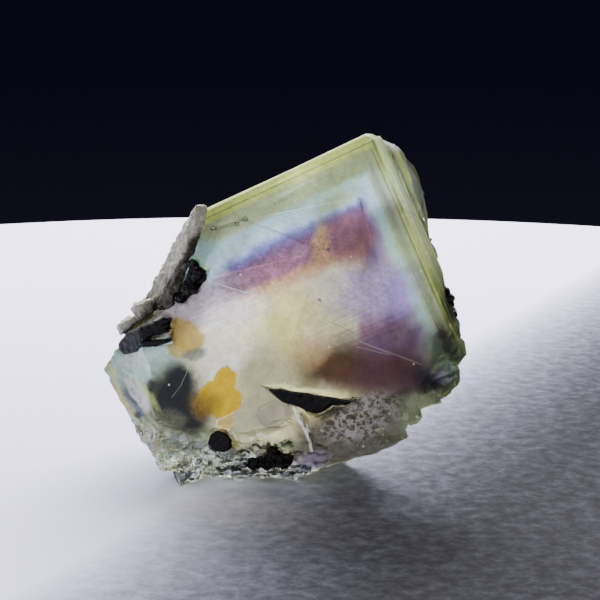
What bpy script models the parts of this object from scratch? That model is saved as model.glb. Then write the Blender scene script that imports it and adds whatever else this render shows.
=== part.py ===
"""A zoned fluorite crystal, broken from its rock, with black tourmaline grown into it.

Metres, +Z up, resting on its broken foot at z = 0.

The crystal is one corner of a cube.  Three growth faces meet at that corner, and all of it is
described in the crystal's own frame: the corner is the origin, +X leaves through the right growth
face, -Y through the front one and +Z through the upper one, so the crystal fills x < 0, y > 0 and
z < 0.  POSE then leans that frame the way the crystal rests on its foot.
"""
import math

import bmesh
import bpy
from mathutils import Matrix, Vector, noise

MM = 0.001

# How the crystal frame lies in the world.
ROLL = math.radians(24.0)                   # the upper edge falls to the left
YAW = math.radians(15.0)                    # the front face turns a little to the left
LEAN = math.radians(9.0)                    # the front face leans back
CORNER = Vector((7.89, -6.56, 32.1)) * MM    # the cube's corner, above the foot

# The cube before it was broken.
CUBE_WIDTH = 36.0 * MM
CUBE_DEPTH = 20.0 * MM
CUBE_HEIGHT = 36.0 * MM
EDGE_BEVEL = 0.7 * MM                       # the narrow faces along the cube's edges
TERRACE_INSETS = (0.7 * MM, 0.5 * MM)       # growth terraces, from a face's edge inwards
TERRACE_RISE = 0.08 * MM
FRONT = Vector((0, -1, 0))
FRONT_FACE = FRONT * len(TERRACE_INSETS) * TERRACE_RISE   # the front face's own plane

# Every piece that sits in or on the crystal keeps this gap to it.
GAP = 0.3 * MM
BLOCK = 80.0 * MM                           # a block much larger than the crystal

# The first seed of each kind of lump, so that no two look alike.
EDGE_LUMP_SEED = 21
RIND_LUMP_SEED = 41
CLUSTER_SEED = 61

# The grain of the broken faces.
FRACTURE_CELL = 1.05 * MM
FRACTURE_THICKNESS = 20.0 * MM
LUMP_ROUGHNESS = 0.3                        # of the lump's radius
LUMP_GRAIN = 0.6                            # of the lump's width


def crystal_pose():
    """The matrix from the crystal's frame to the world."""
    turn = (
        Matrix.Rotation(-LEAN, 4, "X")
        @ Matrix.Rotation(-YAW, 4, "Z")
        @ Matrix.Rotation(-ROLL, 4, "Y")
    )
    return Matrix.Translation(CORNER) @ turn


POSE = crystal_pose()


def point(left, back, down):
    """A place in the crystal frame, in millimetres from the right, front and upper faces."""
    return Vector((-left, back, -down)) * MM


# ---------------------------------------------------------------- scene and materials

def clear_scene():
    for obj in list(bpy.data.objects):
        bpy.data.objects.remove(obj)


def collection(name):
    made = bpy.data.collections.new(name)
    bpy.context.scene.collection.children.link(made)
    return made


def material(name, colour, roughness, transmission=0.0, ior=1.5):
    made = bpy.data.materials.new(name)
    made.use_nodes = True
    shader = made.node_tree.nodes["Principled BSDF"]
    shader.inputs["Base Color"].default_value = (*colour, 1.0)
    shader.inputs["Roughness"].default_value = roughness
    shader.inputs["Metallic"].default_value = 0.0
    shader.inputs["Transmission Weight"].default_value = transmission
    shader.inputs["IOR"].default_value = ior
    return made


def add_object(name, bm, group, look=None, matrix=POSE):
    """A mesh object of bm in a collection, with one material."""
    mesh = bpy.data.meshes.new(name)
    bm.to_mesh(mesh)
    bm.free()
    obj = bpy.data.objects.new(name, mesh)
    if look:
        mesh.materials.append(look)
    obj.matrix_world = matrix
    group.objects.link(obj)
    return obj


def add_cutter(name, bm, group, matrix=POSE):
    """A helper that a Boolean reads and no render shows."""
    obj = add_object(name, bm, group, matrix=matrix)
    obj.hide_render = True
    obj.display_type = "WIRE"
    return obj


def boolean(obj, other, operation):
    """Cuts other from obj, or joins it to obj, by a live modifier."""
    modifier = obj.modifiers.new(f"{operation.lower()}_{other.name}", "BOOLEAN")
    modifier.operation = operation
    modifier.solver = "EXACT"
    modifier.object = other


# ---------------------------------------------------------------- shapes

def frame_on(place, outward):
    """A matrix at place whose +Z is outward and whose +X lies level in the crystal frame."""
    up = outward.normalized()
    side = Vector((0, 0, 1)).cross(up).normalized()
    turn = Matrix((side, up.cross(side), up)).transposed().to_4x4()
    return Matrix.Translation(place) @ turn


def relief(where, grain, seed):
    """Layered noise from about -1 to 1, whose largest features are grain across."""
    spot = where / grain + Vector((7.31, 3.17, 5.71)) * seed
    return noise.fractal(spot, 0.9, 2.1, 3)


def shift_off_grid(vert, cell, seed):
    """Moves a grid's vertex aside, so that the break has no rows."""
    aside = noise.noise_vector(vert.co / cell * 1.7 + Vector((seed, 0, 0)))
    vert.co += Vector((aside.x, aside.y, 0)) * cell * 0.28


def fracture_slab(width, length, depth, grain, seed):
    """A closed slab above z = 0 whose underside has a broken face's relief."""
    bm = bmesh.new()
    columns = max(2, round(width / FRACTURE_CELL))
    rows = max(2, round(length / FRACTURE_CELL))
    bmesh.ops.create_grid(bm, x_segments=columns, y_segments=rows, size=0.5)
    bmesh.ops.scale(bm, vec=(width, length, 1.0), verts=bm.verts)
    for vert in bm.verts:
        height = depth * relief(vert.co, grain, seed)
        shift_off_grid(vert, FRACTURE_CELL, seed)
        vert.co.z = height
    raise_faces(bm, list(bm.faces), "z", FRACTURE_THICKNESS)
    bmesh.ops.triangulate(bm, faces=bm.faces)
    return bm


def raise_faces(bm, faces, axis, level):
    """Makes flat faces solid up to a level along an axis."""
    raised = bmesh.ops.extrude_face_region(bm, geom=faces)["geom"]
    for item in raised:
        if isinstance(item, bmesh.types.BMVert):
            setattr(item.co, axis, level)
    bmesh.ops.recalc_face_normals(bm, faces=bm.faces)


def lump(place, size, seed, clearance=0.0):
    """A rounded, uneven lump; size is its width, depth and height in mm."""
    bm = bmesh.new()
    bmesh.ops.create_icosphere(bm, subdivisions=2, radius=0.5)
    for vert in bm.verts:
        vert.co *= 1.0 + LUMP_ROUGHNESS * relief(vert.co, LUMP_GRAIN, seed)
    full = Vector(size) * MM + Vector((2, 2, 2)) * clearance
    bmesh.ops.scale(bm, vec=full, verts=bm.verts)
    bmesh.ops.translate(bm, vec=place, verts=bm.verts)
    return bm


def hull(points):
    """The convex solid around a few places."""
    bm = bmesh.new()
    for place in points:
        bm.verts.new(place)
    made = bmesh.ops.convex_hull(bm, input=bm.verts)
    bmesh.ops.delete(bm, geom=made["geom_interior"], context="VERTS")
    return bm


def plate(outline, front, back):
    """A flat outline of (left, down) points, made solid from depth front to depth back."""
    bm = bmesh.new()
    ring = [bm.verts.new(point(left, front, down)) for left, down in outline]
    edges = [bm.edges.new((ring[i - 1], ring[i])) for i in range(len(ring))]
    faces = bmesh.ops.contextual_create(bm, geom=edges)["faces"]
    raise_faces(bm, faces, "y", back * MM)
    return bm


def grow(bm, amount):
    """Moves every face out by about an amount, for a pocket that clears a piece."""
    bm.normal_update()
    moves = [(vert, vert.normal * amount * vert.calc_shell_factor()) for vert in bm.verts]
    for vert, move in moves:
        vert.co += move
    return bm


def block_around(centre):
    """A block to cleave down to size."""
    bm = bmesh.new()
    bmesh.ops.create_cube(bm, size=BLOCK)
    bmesh.ops.translate(bm, vec=centre, verts=bm.verts)
    return bm


def cleave(bm, place, outward):
    """Splits off what lies beyond a plane and closes the cut."""
    everything = list(bm.verts) + list(bm.edges) + list(bm.faces)
    cut = bmesh.ops.bisect_plane(bm, geom=everything, plane_co=place,
                                 plane_no=outward, clear_outer=True, dist=1e-7)
    edges = [item for item in cut["geom_cut"] if isinstance(item, bmesh.types.BMEdge)]
    bmesh.ops.contextual_create(bm, geom=edges)


# ---------------------------------------------------------------- the fluorite

# Old breaks at the upper left, which the rock covers: (place, outward).
CREST_BREAK = (point(24.6, 3.0, 4.75), Vector((-0.514, 0.10, 0.852)))
SLOPE_BREAK = (point(16.4, 0, 0.4), Vector((-0.57, -0.62, 0.54)))
LEDGE_BREAK = (point(26.0, 0.5, 6.9), Vector((-0.10, -0.35, 0.93)))

# The middle of the rock that lies on them.
RIND_CENTRE = point(24.3, 4.5, 5.6)

# The upper edge behind the front corner falls away to the right.
SHOULDER = (point(0.0, 5.0, 0.7), Vector((0.379, 0.167, 0.909)))

# The broken face at the left front, which the rock and the tourmaline also follow.
LEFT_FRONT = (point(28.0, 0, 13.0), Vector((-0.48, -0.87, 0.11)))

# The bare breaks: (place, outward, width, length, relief depth, relief grain), sizes in mm.
BREAKS = {
    "left_front_break": (*LEFT_FRONT, 14, 26, 0.35, 4.0),
    "left_break": (point(31.6, 4, 11), Vector((-0.96, 0.22, -0.10)), 30, 34, 0.6, 6.0),
    "lower_left_break": (point(30.25, 3, 18.8), Vector((-0.90, 0.02, -0.44)), 30, 20, 0.6, 5.0),
    "lower_front_break": (point(20.0, 0, 20.2), Vector((-0.02, -0.87, -0.49)), 14, 16, 0.45, 3.0),
    "lower_right_front_break": (
        point(11.6, 0, 21.5), Vector((-0.05, -0.91, -0.40)), 16, 14, 0.45, 2.6),
    "foot_left_break": (point(22, 2, 23.9), Vector((-0.409, -0.16, -0.9)), 26, 46, 0.6, 4.5),
    "foot_break": (point(13.8, 2, 25.3), Vector((-0.037, -0.06, -0.998)), 40, 46, 0.6, 5.0),
    "foot_right_break": (point(8.4, 5, 25.2), Vector((0.26, 0.08, -0.96)), 30, 40, 0.5, 3.5),
    "corner_break": (point(3.6, 1, 22.7), Vector((0.46, -0.71, -0.53)), 12, 12, 0.5, 2.5),
    "right_break": (point(2.2, 2, 21.6), Vector((0.72, 0.40, -0.57)), 26, 26, 0.6, 3.0),
    "right_back_break": (point(6, 8.25, 14), Vector((0.6, 0.72, -0.36)), 44, 52, 0.7, 5.0),
    "crest_back_break": (point(24.6, 11.0, 5.4), Vector((-0.45, 0.45, 0.77)), 40, 30, 0.5, 4.0),
    "back_break": (point(15, 17.3, 13), Vector((-0.10, 0.98, 0.12)), 50, 50, 0.9, 6.5),
}

# A second crystal grown in step with the first, behind its right face.
REAR_CRYSTAL = (
    point(0.15, 3.9, 0.7), point(-0.05, 7.8, 1.0), point(-0.05, 10.7, 1.6), point(0.05, 12.9, 3.0),
    point(0.1, 13.6, 5.0), point(0.2, 10.7, 7.8), point(0.2, 8.5, 9.2), point(0.25, 4.2, 11.8),
    point(8, 3.6, 1), point(8, 13.4, 2.0), point(8, 15.0, 6), point(8, 12.0, 12), point(8, 4, 12),
)
REAR_CRYSTAL_BEVEL = 0.35 * MM

# The groove between the two, down the right face.
GROOVE = (
    point(-0.8, 2.5, -0.8), point(0.8, 3.7, -0.8), point(-0.8, 4.9, -0.8),
    point(-0.6, 3.4, 12.0), point(0.15, 3.8, 12.0), point(-0.6, 4.3, 12.0),
)

# A bite out of the lower right edge.
BITE_OUTLINE = ((2.4, 24.2), (5.9, 23.7), (7.7, 24.9), (7.6, 27.5), (2.4, 27.5))
BITE_LEAN = 0.28                            # how far it runs left for each millimetre back
BITE_DEPTH = (-2.0, 9.0)                    # from before the front face to inside it

# A splinter at the lower left, the crystal's lowest point in front.
TIP_SPLINTER = (
    point(25.2, 0.3, 20.6), point(29.1, 0.3, 21.9), point(29.9, 2.2, 19.9), point(28.6, 0.6, 18.8),
    point(26.5, 4.5, 22.0), point(30.0, 5.0, 21.0), point(27.5, 4.0, 19.0),
)

# Lumps along the broken lower edge: (place, size).
EDGE_LUMPS = (
    (point(3.6, 2.0, 21.9), (4.2, 3.8, 3.6)),
    (point(1.9, 2.2, 19.9), (2.6, 3.4, 3.4)),
    (point(6.1, 0.9, 22.6), (1.9, 1.8, 1.6)),
    (point(7.0, 1.4, 24.0), (1.9, 2.2, 2.0)),
    (point(10.8, 1.9, 24.5), (3.2, 2.6, 1.6)),
    (point(18.6, 1.4, 22.2), (1.3, 1.8, 1.3)),
    (point(20.8, 1.2, 21.1), (1.9, 1.6, 2.1)),
    (point(22.6, 1.4, 21.2), (1.5, 1.8, 1.5)),
)

# Small etch pits in the front face: (left, down, width) in mm.
PITS = ((16.4, 2.0, 0.38), (14.5, 2.3, 0.40), (13.6, 2.3, 0.36), (8.1, 7.6, 0.46), (3.4, 4.9, 0.40))

# An open crack that runs down from the front blade, as (left, down) points.
CRACK = (
    (16.05, 20.0), (16.2, 21.2), (16.3, 22.5), (16.45, 24.0), (16.05, 24.0), (15.95, 22.5),
    (15.85, 21.2), (15.9, 20.0),
)
CRACK_DEPTH = (-1.0, 1.6)


def growth_cube():
    """The sharp cube with its bevelled edges and its growth terraces."""
    bm = bmesh.new()
    bmesh.ops.create_cube(bm, size=1.0)
    size = Vector((CUBE_WIDTH, CUBE_DEPTH, CUBE_HEIGHT))
    bmesh.ops.scale(bm, vec=size, verts=bm.verts)
    bmesh.ops.translate(bm, vec=Vector((-size.x, size.y, -size.z)) / 2, verts=bm.verts)
    corner = min(bm.verts, key=lambda vert: vert.co.length)
    bmesh.ops.bevel(bm, geom=list(corner.link_edges), affect="EDGES", offset=EDGE_BEVEL,
                    segments=2, profile=0.5, material=-1)
    for outward in (Vector((0, -1, 0)), Vector((1, 0, 0)), Vector((0, 0, 1))):
        face = max(bm.faces, key=lambda f: f.normal.dot(outward) * f.calc_area())
        for inset in TERRACE_INSETS:
            bmesh.ops.inset_region(bm, faces=[face], thickness=inset, depth=0.0)
            bmesh.ops.translate(bm, vec=outward * TERRACE_RISE, verts=face.verts)
    return bm


def rear_crystal():
    """The blunt second crystal, with its edges worn round."""
    bm = hull(REAR_CRYSTAL)
    bmesh.ops.bevel(bm, geom=list(bm.edges), affect="EDGES", offset=REAR_CRYSTAL_BEVEL,
                    segments=1, profile=0.5, material=-1, clamp_overlap=True)
    bmesh.ops.remove_doubles(bm, verts=bm.verts, dist=0.02 * MM)
    return bm


def pit(left, down, width):
    bm = bmesh.new()
    bmesh.ops.create_icosphere(bm, subdivisions=1, radius=width / 2 * MM)
    bmesh.ops.translate(bm, vec=point(left, 0, down) + FRONT_FACE, verts=bm.verts)
    return bm


def bite():
    """The bite, run back along its lean."""
    return hull([point(left + BITE_LEAN * back, back, down)
                 for left, down in BITE_OUTLINE for back in BITE_DEPTH])


def rind_bed():
    """The step in the crystal's upper left that the rock fills."""
    bm = block_around(RIND_CENTRE)
    for place, outward in (SLOPE_BREAK, LEDGE_BREAK):
        cleave(bm, place, -outward)
    return bm


def fluorite(shapes, helpers, look):
    bm = growth_cube()
    for place, outward in (CREST_BREAK, SHOULDER):
        cleave(bm, place, outward)
    crystal = add_object("fluorite_crystal", bm, shapes, look)
    boolean(crystal, add_cutter("rind_bed", rind_bed(), helpers), "DIFFERENCE")
    for seed, (name, numbers) in enumerate(BREAKS.items(), start=1):
        place, outward, width, length, depth, grain = numbers
        slab = fracture_slab(width * MM, length * MM, depth * MM, grain * MM, seed)
        cutter = add_cutter(name, slab, helpers, POSE @ frame_on(place, outward))
        boolean(crystal, cutter, "DIFFERENCE")
    boolean(crystal, add_cutter("rear_crystal", rear_crystal(), helpers), "UNION")
    boolean(crystal, add_cutter("groove", hull(GROOVE), helpers), "DIFFERENCE")
    boolean(crystal, add_cutter("bite", bite(), helpers), "DIFFERENCE")
    boolean(crystal, add_cutter("tip_splinter", hull(TIP_SPLINTER), helpers), "UNION")
    for seed, (place, size) in enumerate(EDGE_LUMPS, start=EDGE_LUMP_SEED):
        bm = lump(place, size, seed)
        boolean(crystal, add_cutter(f"edge_lump_{seed}", bm, helpers), "UNION")
    for number, (left, down, width) in enumerate(PITS, start=1):
        bm = pit(left, down, width)
        boolean(crystal, add_cutter(f"etch_pit_{number}", bm, helpers), "DIFFERENCE")
    crack = plate(CRACK, *CRACK_DEPTH)
    boolean(crystal, add_cutter("open_crack", crack, helpers), "DIFFERENCE")
    floor = block_around(Vector((0, 0, -BLOCK / 2)))
    boolean(crystal, add_cutter("foot_cut", floor, helpers, Matrix.Identity(4)), "DIFFERENCE")
    return crystal


# ---------------------------------------------------------------- the tourmaline

# Each blade is made of flat plates: (outline as (left, down), front depth, back depth), in mm.
FRONT_BLADE = ((
    ((17.7, 16.9), (17.1, 17.2), (15.8, 17.9), (14.4, 18.7), (13.7, 19.2), (12.8, 19.7),
     (11.9, 20.3), (10.9, 20.85), (11.2, 21.0), (11.9, 20.85), (12.6, 20.65), (13.0, 20.4),
     (13.4, 20.6), (14.0, 20.7), (14.6, 20.6), (15.0, 20.3), (15.4, 19.85), (15.8, 19.3),
     (16.5, 18.8), (16.9, 18.4), (17.5, 17.4)), -0.35, 1.5),)
LOWER_STUB = ((
    ((25.0, 19.3), (24.4, 18.65), (23.7, 18.5), (23.0, 19.0), (22.75, 19.8), (23.1, 20.4),
     (23.8, 20.6), (24.6, 20.1)), -0.1, 1.9),)
LEFT_SPRAY = (
    # the body of the spray, then its barbs
    (((29.6, 7.6), (28.1, 7.1), (26.1, 7.25), (25.0, 7.3), (24.7, 7.9), (24.9, 8.35), (26.2, 8.4),
      (27.1, 8.85), (27.8, 9.1), (28.5, 9.05), (29.5, 8.8), (29.8, 8.2)), -0.3, 3.2),
    (((25.3, 7.25), (24.2, 7.3), (23.6, 7.75), (23.7, 7.95), (25.1, 8.0)), -0.2, 1.6),
    (((25.1, 7.8), (23.75, 8.1), (23.8, 8.3), (25.1, 8.3)), -0.35, 1.4),
    (((25.3, 7.95), (24.05, 8.45), (24.15, 8.65), (25.5, 8.5)), -0.25, 1.5),
    (((27.3, 8.3), (26.6, 8.55), (24.4, 9.3), (24.5, 9.5), (25.9, 9.4), (27.2, 8.95)), -0.3, 1.6),
)
BLADE_BEVEL = 0.14 * MM
BLADE_RISE = 0.2 * MM

# Granular clusters, each of grown-together lumps: (place, size).
RIM_CLUSTER = (
    (point(19.7, -0.1, 5.0), (2.0, 1.5, 1.8)),
    (point(20.6, 0.0, 5.8), (1.8, 1.5, 1.5)),
    (point(21.7, 0.2, 6.3), (1.5, 1.4, 1.1)),
    (point(19.4, 0.1, 4.1), (1.1, 1.1, 1.1)),
)
LOWER_SEAM = (
    (point(22.2, 2.0, 22.4), (1.9, 1.7, 1.3)),
    (point(20.9, 2.0, 22.8), (1.9, 1.8, 1.6)),
    (point(19.5, 2.1, 23.2), (2.1, 1.8, 1.5)),
    (point(19.9, 1.5, 22.1), (1.3, 1.5, 1.7)),
)
RIGHT_KNOB = (
    (point(-0.1, 1.6, 15.8), (1.0, 1.1, 1.7)),
    (point(0.2, 1.7, 17.1), (0.9, 1.0, 1.4)),
)


def blade(outline, front, back):
    """A flat tourmaline crystal with its edges broken."""
    bm = plate(outline, front, back)
    cleave(bm, LEFT_FRONT[0] + LEFT_FRONT[1] * BLADE_RISE, LEFT_FRONT[1])
    bmesh.ops.bevel(bm, geom=list(bm.edges), affect="EDGES", offset=BLADE_BEVEL,
                    segments=1, profile=0.5, material=-1, clamp_overlap=True)
    return bm


def add_blades(name, plates, groups, look, crystal):
    """Plates grown together as one piece, with a pocket for them in the crystal."""
    shapes, helpers = groups
    made = add_object(name, blade(*plates[0]), shapes, look)
    for number, numbers in enumerate(plates[1:], start=2):
        boolean(made, add_cutter(f"{name}_{number}", blade(*numbers), helpers), "UNION")
    for number, numbers in enumerate(plates, start=1):
        pocket = add_cutter(f"{name}_pocket_{number}", grow(plate(*numbers), GAP), helpers)
        boolean(crystal, pocket, "DIFFERENCE")
    return made


def add_cluster(name, lumps, groups, look, hosts):
    """Grown-together lumps as one piece, with a pocket for them in each host."""
    shapes, helpers = groups
    first = add_object(name, lump(*lumps[0], seed=CLUSTER_SEED), shapes, look)
    for seed, (place, size) in enumerate(lumps[1:], start=CLUSTER_SEED + 1):
        other = add_cutter(f"{name}_{seed}", lump(place, size, seed), helpers)
        boolean(first, other, "UNION")
    for seed, (place, size) in enumerate(lumps, start=CLUSTER_SEED):
        pocket = add_cutter(f"{name}_pocket_{seed}", lump(place, size, seed, GAP), helpers)
        for host in hosts:
            boolean(host, pocket, "DIFFERENCE")
    return first


# ---------------------------------------------------------------- the rock on its upper left

RIND_REACH = Vector((8.5, 6.0, 4.0)) * MM   # how its rays are stretched along, into and across
RIND_FALL = math.radians(31.0)              # its length falls with the crest
RIND_THICKNESS = 0.95 * MM
RIND_RAG_GRAIN = 0.55                       # of the length of the ray
RIND_LIMITS = (
    # (place, outward, raggedness) of each side of the rock, before the crystal is taken from it
    (SLOPE_BREAK[0] + SLOPE_BREAK[1] * RIND_THICKNESS, SLOPE_BREAK[1], 0.10),
    (point(24.6, 3.0, 3.35), Vector((-0.457, 0.10, 0.884)), 0.12),
    (FRONT_FACE, FRONT, 0.05),
    (LEFT_FRONT[0] + LEFT_FRONT[1] * RIND_THICKNESS, LEFT_FRONT[1], 0.10),
    (point(17.2, 3.0, 0.8), Vector((0.90, 0.30, 0.34)), 0.12),
    (point(31.2, 4.0, 8.0), Vector((-0.93, 0.28, -0.24)), 0.16),
    (point(24.0, 9.8, 5.0), Vector((0.25, 0.96, 0.1)), 0.25),
    (point(24.0, 4.0, 9.6), Vector((0.5, 0.1, -0.86)), 0.10),
)
RIND_LUMPS = (
    # (place, size) of knobs that stand out of the rock
    (point(18.9, 0.4, 2.1), (1.7, 1.5, 1.5)),
    (point(22.9, 2.2, 3.9), (2.6, 2.4, 1.6)),
    (point(26.2, 2.0, 5.6), (2.6, 2.6, 1.6)),
    (point(28.2, 2.6, 6.5), (2.8, 3.0, 1.8)),
)


def rind_body():
    """The rough rock: rays from its centre to its limits, each limit raggedly near or far."""
    bm = bmesh.new()
    bmesh.ops.create_icosphere(bm, subdivisions=4, radius=1.0)
    turn = Matrix.Rotation(-RIND_FALL, 3, "Y")
    for vert in bm.verts:
        ray = turn @ Vector(reach * side for reach, side in zip(RIND_REACH, vert.co))
        rough = relief(vert.co, RIND_RAG_GRAIN, 3)
        share = min((place - RIND_CENTRE).dot(outward) / ray.dot(outward) * (1.0 + ragged * rough)
                    for place, outward, ragged in RIND_LIMITS if ray.dot(outward) > 0)
        vert.co = RIND_CENTRE + ray * share
    return bm


def crystal_side(breaks):
    """What lies within some of the crystal's breaks and its front face, grown by the gap."""
    bm = block_around(RIND_CENTRE)
    for place, outward in (*breaks, (FRONT_FACE, FRONT)):
        cleave(bm, place + outward * GAP, outward)
    return bm


def matrix_rind(shapes, helpers, look):
    rind = add_object("matrix_rind", rind_body(), shapes, look)
    for seed, (place, size) in enumerate(RIND_LUMPS, start=RIND_LUMP_SEED):
        bm = lump(place, size, seed)
        boolean(rind, add_cutter(f"rind_lump_{seed}", bm, helpers), "UNION")
    sides = {"slope_side": (SLOPE_BREAK, CREST_BREAK), "ledge_side": (LEDGE_BREAK, CREST_BREAK)}
    for name, breaks in sides.items():
        boolean(rind, add_cutter(name, crystal_side(breaks), helpers), "DIFFERENCE")
    return rind


def main():
    clear_scene()
    shapes = collection("fluorite_specimen")
    helpers = collection("cutters")
    groups = (shapes, helpers)
    glassy = material("fluorite", (0.72, 0.80, 0.60), 0.08, transmission=1.0, ior=1.434)
    stone = material("matrix", (0.40, 0.36, 0.27), 0.85)
    black = material("tourmaline", (0.012, 0.012, 0.014), 0.28, ior=1.64)
    crystal = fluorite(shapes, helpers, glassy)
    rind = matrix_rind(shapes, helpers, stone)
    add_blades("tourmaline_front_blade", FRONT_BLADE, groups, black, crystal)
    add_blades("tourmaline_lower_stub", LOWER_STUB, groups, black, crystal)
    add_blades("tourmaline_left_spray", LEFT_SPRAY, groups, black, crystal)
    add_cluster("tourmaline_rim_cluster", RIM_CLUSTER, groups, black, (crystal, rind))
    add_cluster("tourmaline_lower_seam", LOWER_SEAM, groups, black, (crystal,))
    add_cluster("tourmaline_right_knob", RIGHT_KNOB, groups, black, (crystal,))


main()
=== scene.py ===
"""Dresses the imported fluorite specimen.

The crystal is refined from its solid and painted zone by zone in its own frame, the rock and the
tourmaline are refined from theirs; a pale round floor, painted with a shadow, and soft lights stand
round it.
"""
import logging
import math
from dataclasses import dataclass, field
from enum import Enum
from typing import Callable, Optional, Sequence, Union

import bmesh
import bpy
from bpy_extras.object_utils import world_to_camera_view
from mathutils import Matrix, Vector, noise
from mathutils.bvhtree import BVHTree


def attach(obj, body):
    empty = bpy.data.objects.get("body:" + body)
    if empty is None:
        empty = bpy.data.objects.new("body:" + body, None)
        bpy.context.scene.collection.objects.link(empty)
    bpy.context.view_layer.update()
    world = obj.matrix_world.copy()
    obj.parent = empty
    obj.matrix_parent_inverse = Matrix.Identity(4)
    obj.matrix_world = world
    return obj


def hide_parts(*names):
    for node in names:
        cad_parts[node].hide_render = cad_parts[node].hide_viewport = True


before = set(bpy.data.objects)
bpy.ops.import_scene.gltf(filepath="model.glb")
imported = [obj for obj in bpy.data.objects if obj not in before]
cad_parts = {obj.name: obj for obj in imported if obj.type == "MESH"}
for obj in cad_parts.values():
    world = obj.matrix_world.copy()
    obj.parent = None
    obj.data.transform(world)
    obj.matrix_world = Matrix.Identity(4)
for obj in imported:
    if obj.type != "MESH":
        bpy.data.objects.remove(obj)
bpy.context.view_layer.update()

MM = 0.001
RENDER_PIXELS = 600                         # the render's width and height

log = logging.getLogger("fluorite")

Socket = bpy.types.NodeSocket
Node = bpy.types.Node
Value = Union[float, Sequence[float], Socket]
Inputs = dict[Union[str, int], Value]
Triple = tuple[float, float, float]
Colour = Triple                             # linear, from 0 to 1
Shade = tuple[int, int, int]                # a colour on the 0 to 255 scale
Span = tuple[float, float]                  # a start and an end, or two sizes or places


# ------------------------------------------------------------------ the crystal's own frame

@dataclass(frozen=True)
class CrystalFrame:
    """The frame the crystal grew in: its corner, and its three growth faces.

    A place is given in millimetres as (left, back, down): the distances from the right, front and
    upper growth faces.
    """

    corner: Triple = (7.89, -6.56, 32.1)
    roll: float = 24.0
    yaw: float = 15.0
    lean: float = 9.0

    def turn(self) -> Matrix:
        """The 3x3 rotation from the crystal's frame to the world."""
        return (
            Matrix.Rotation(math.radians(-self.lean), 3, "X")
            @ Matrix.Rotation(math.radians(-self.yaw), 3, "Z")
            @ Matrix.Rotation(math.radians(-self.roll), 3, "Y")
        )

    def to_local(self, where: Vector) -> Vector:
        """A world place as (left, back, down) in millimetres."""
        spot = self.turn().transposed() @ (where / MM - Vector(self.corner))
        return Vector((-spot.x, spot.y, -spot.z))


GROWTH = CrystalFrame()


# ------------------------------------------------------------------ node graphs

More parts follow.
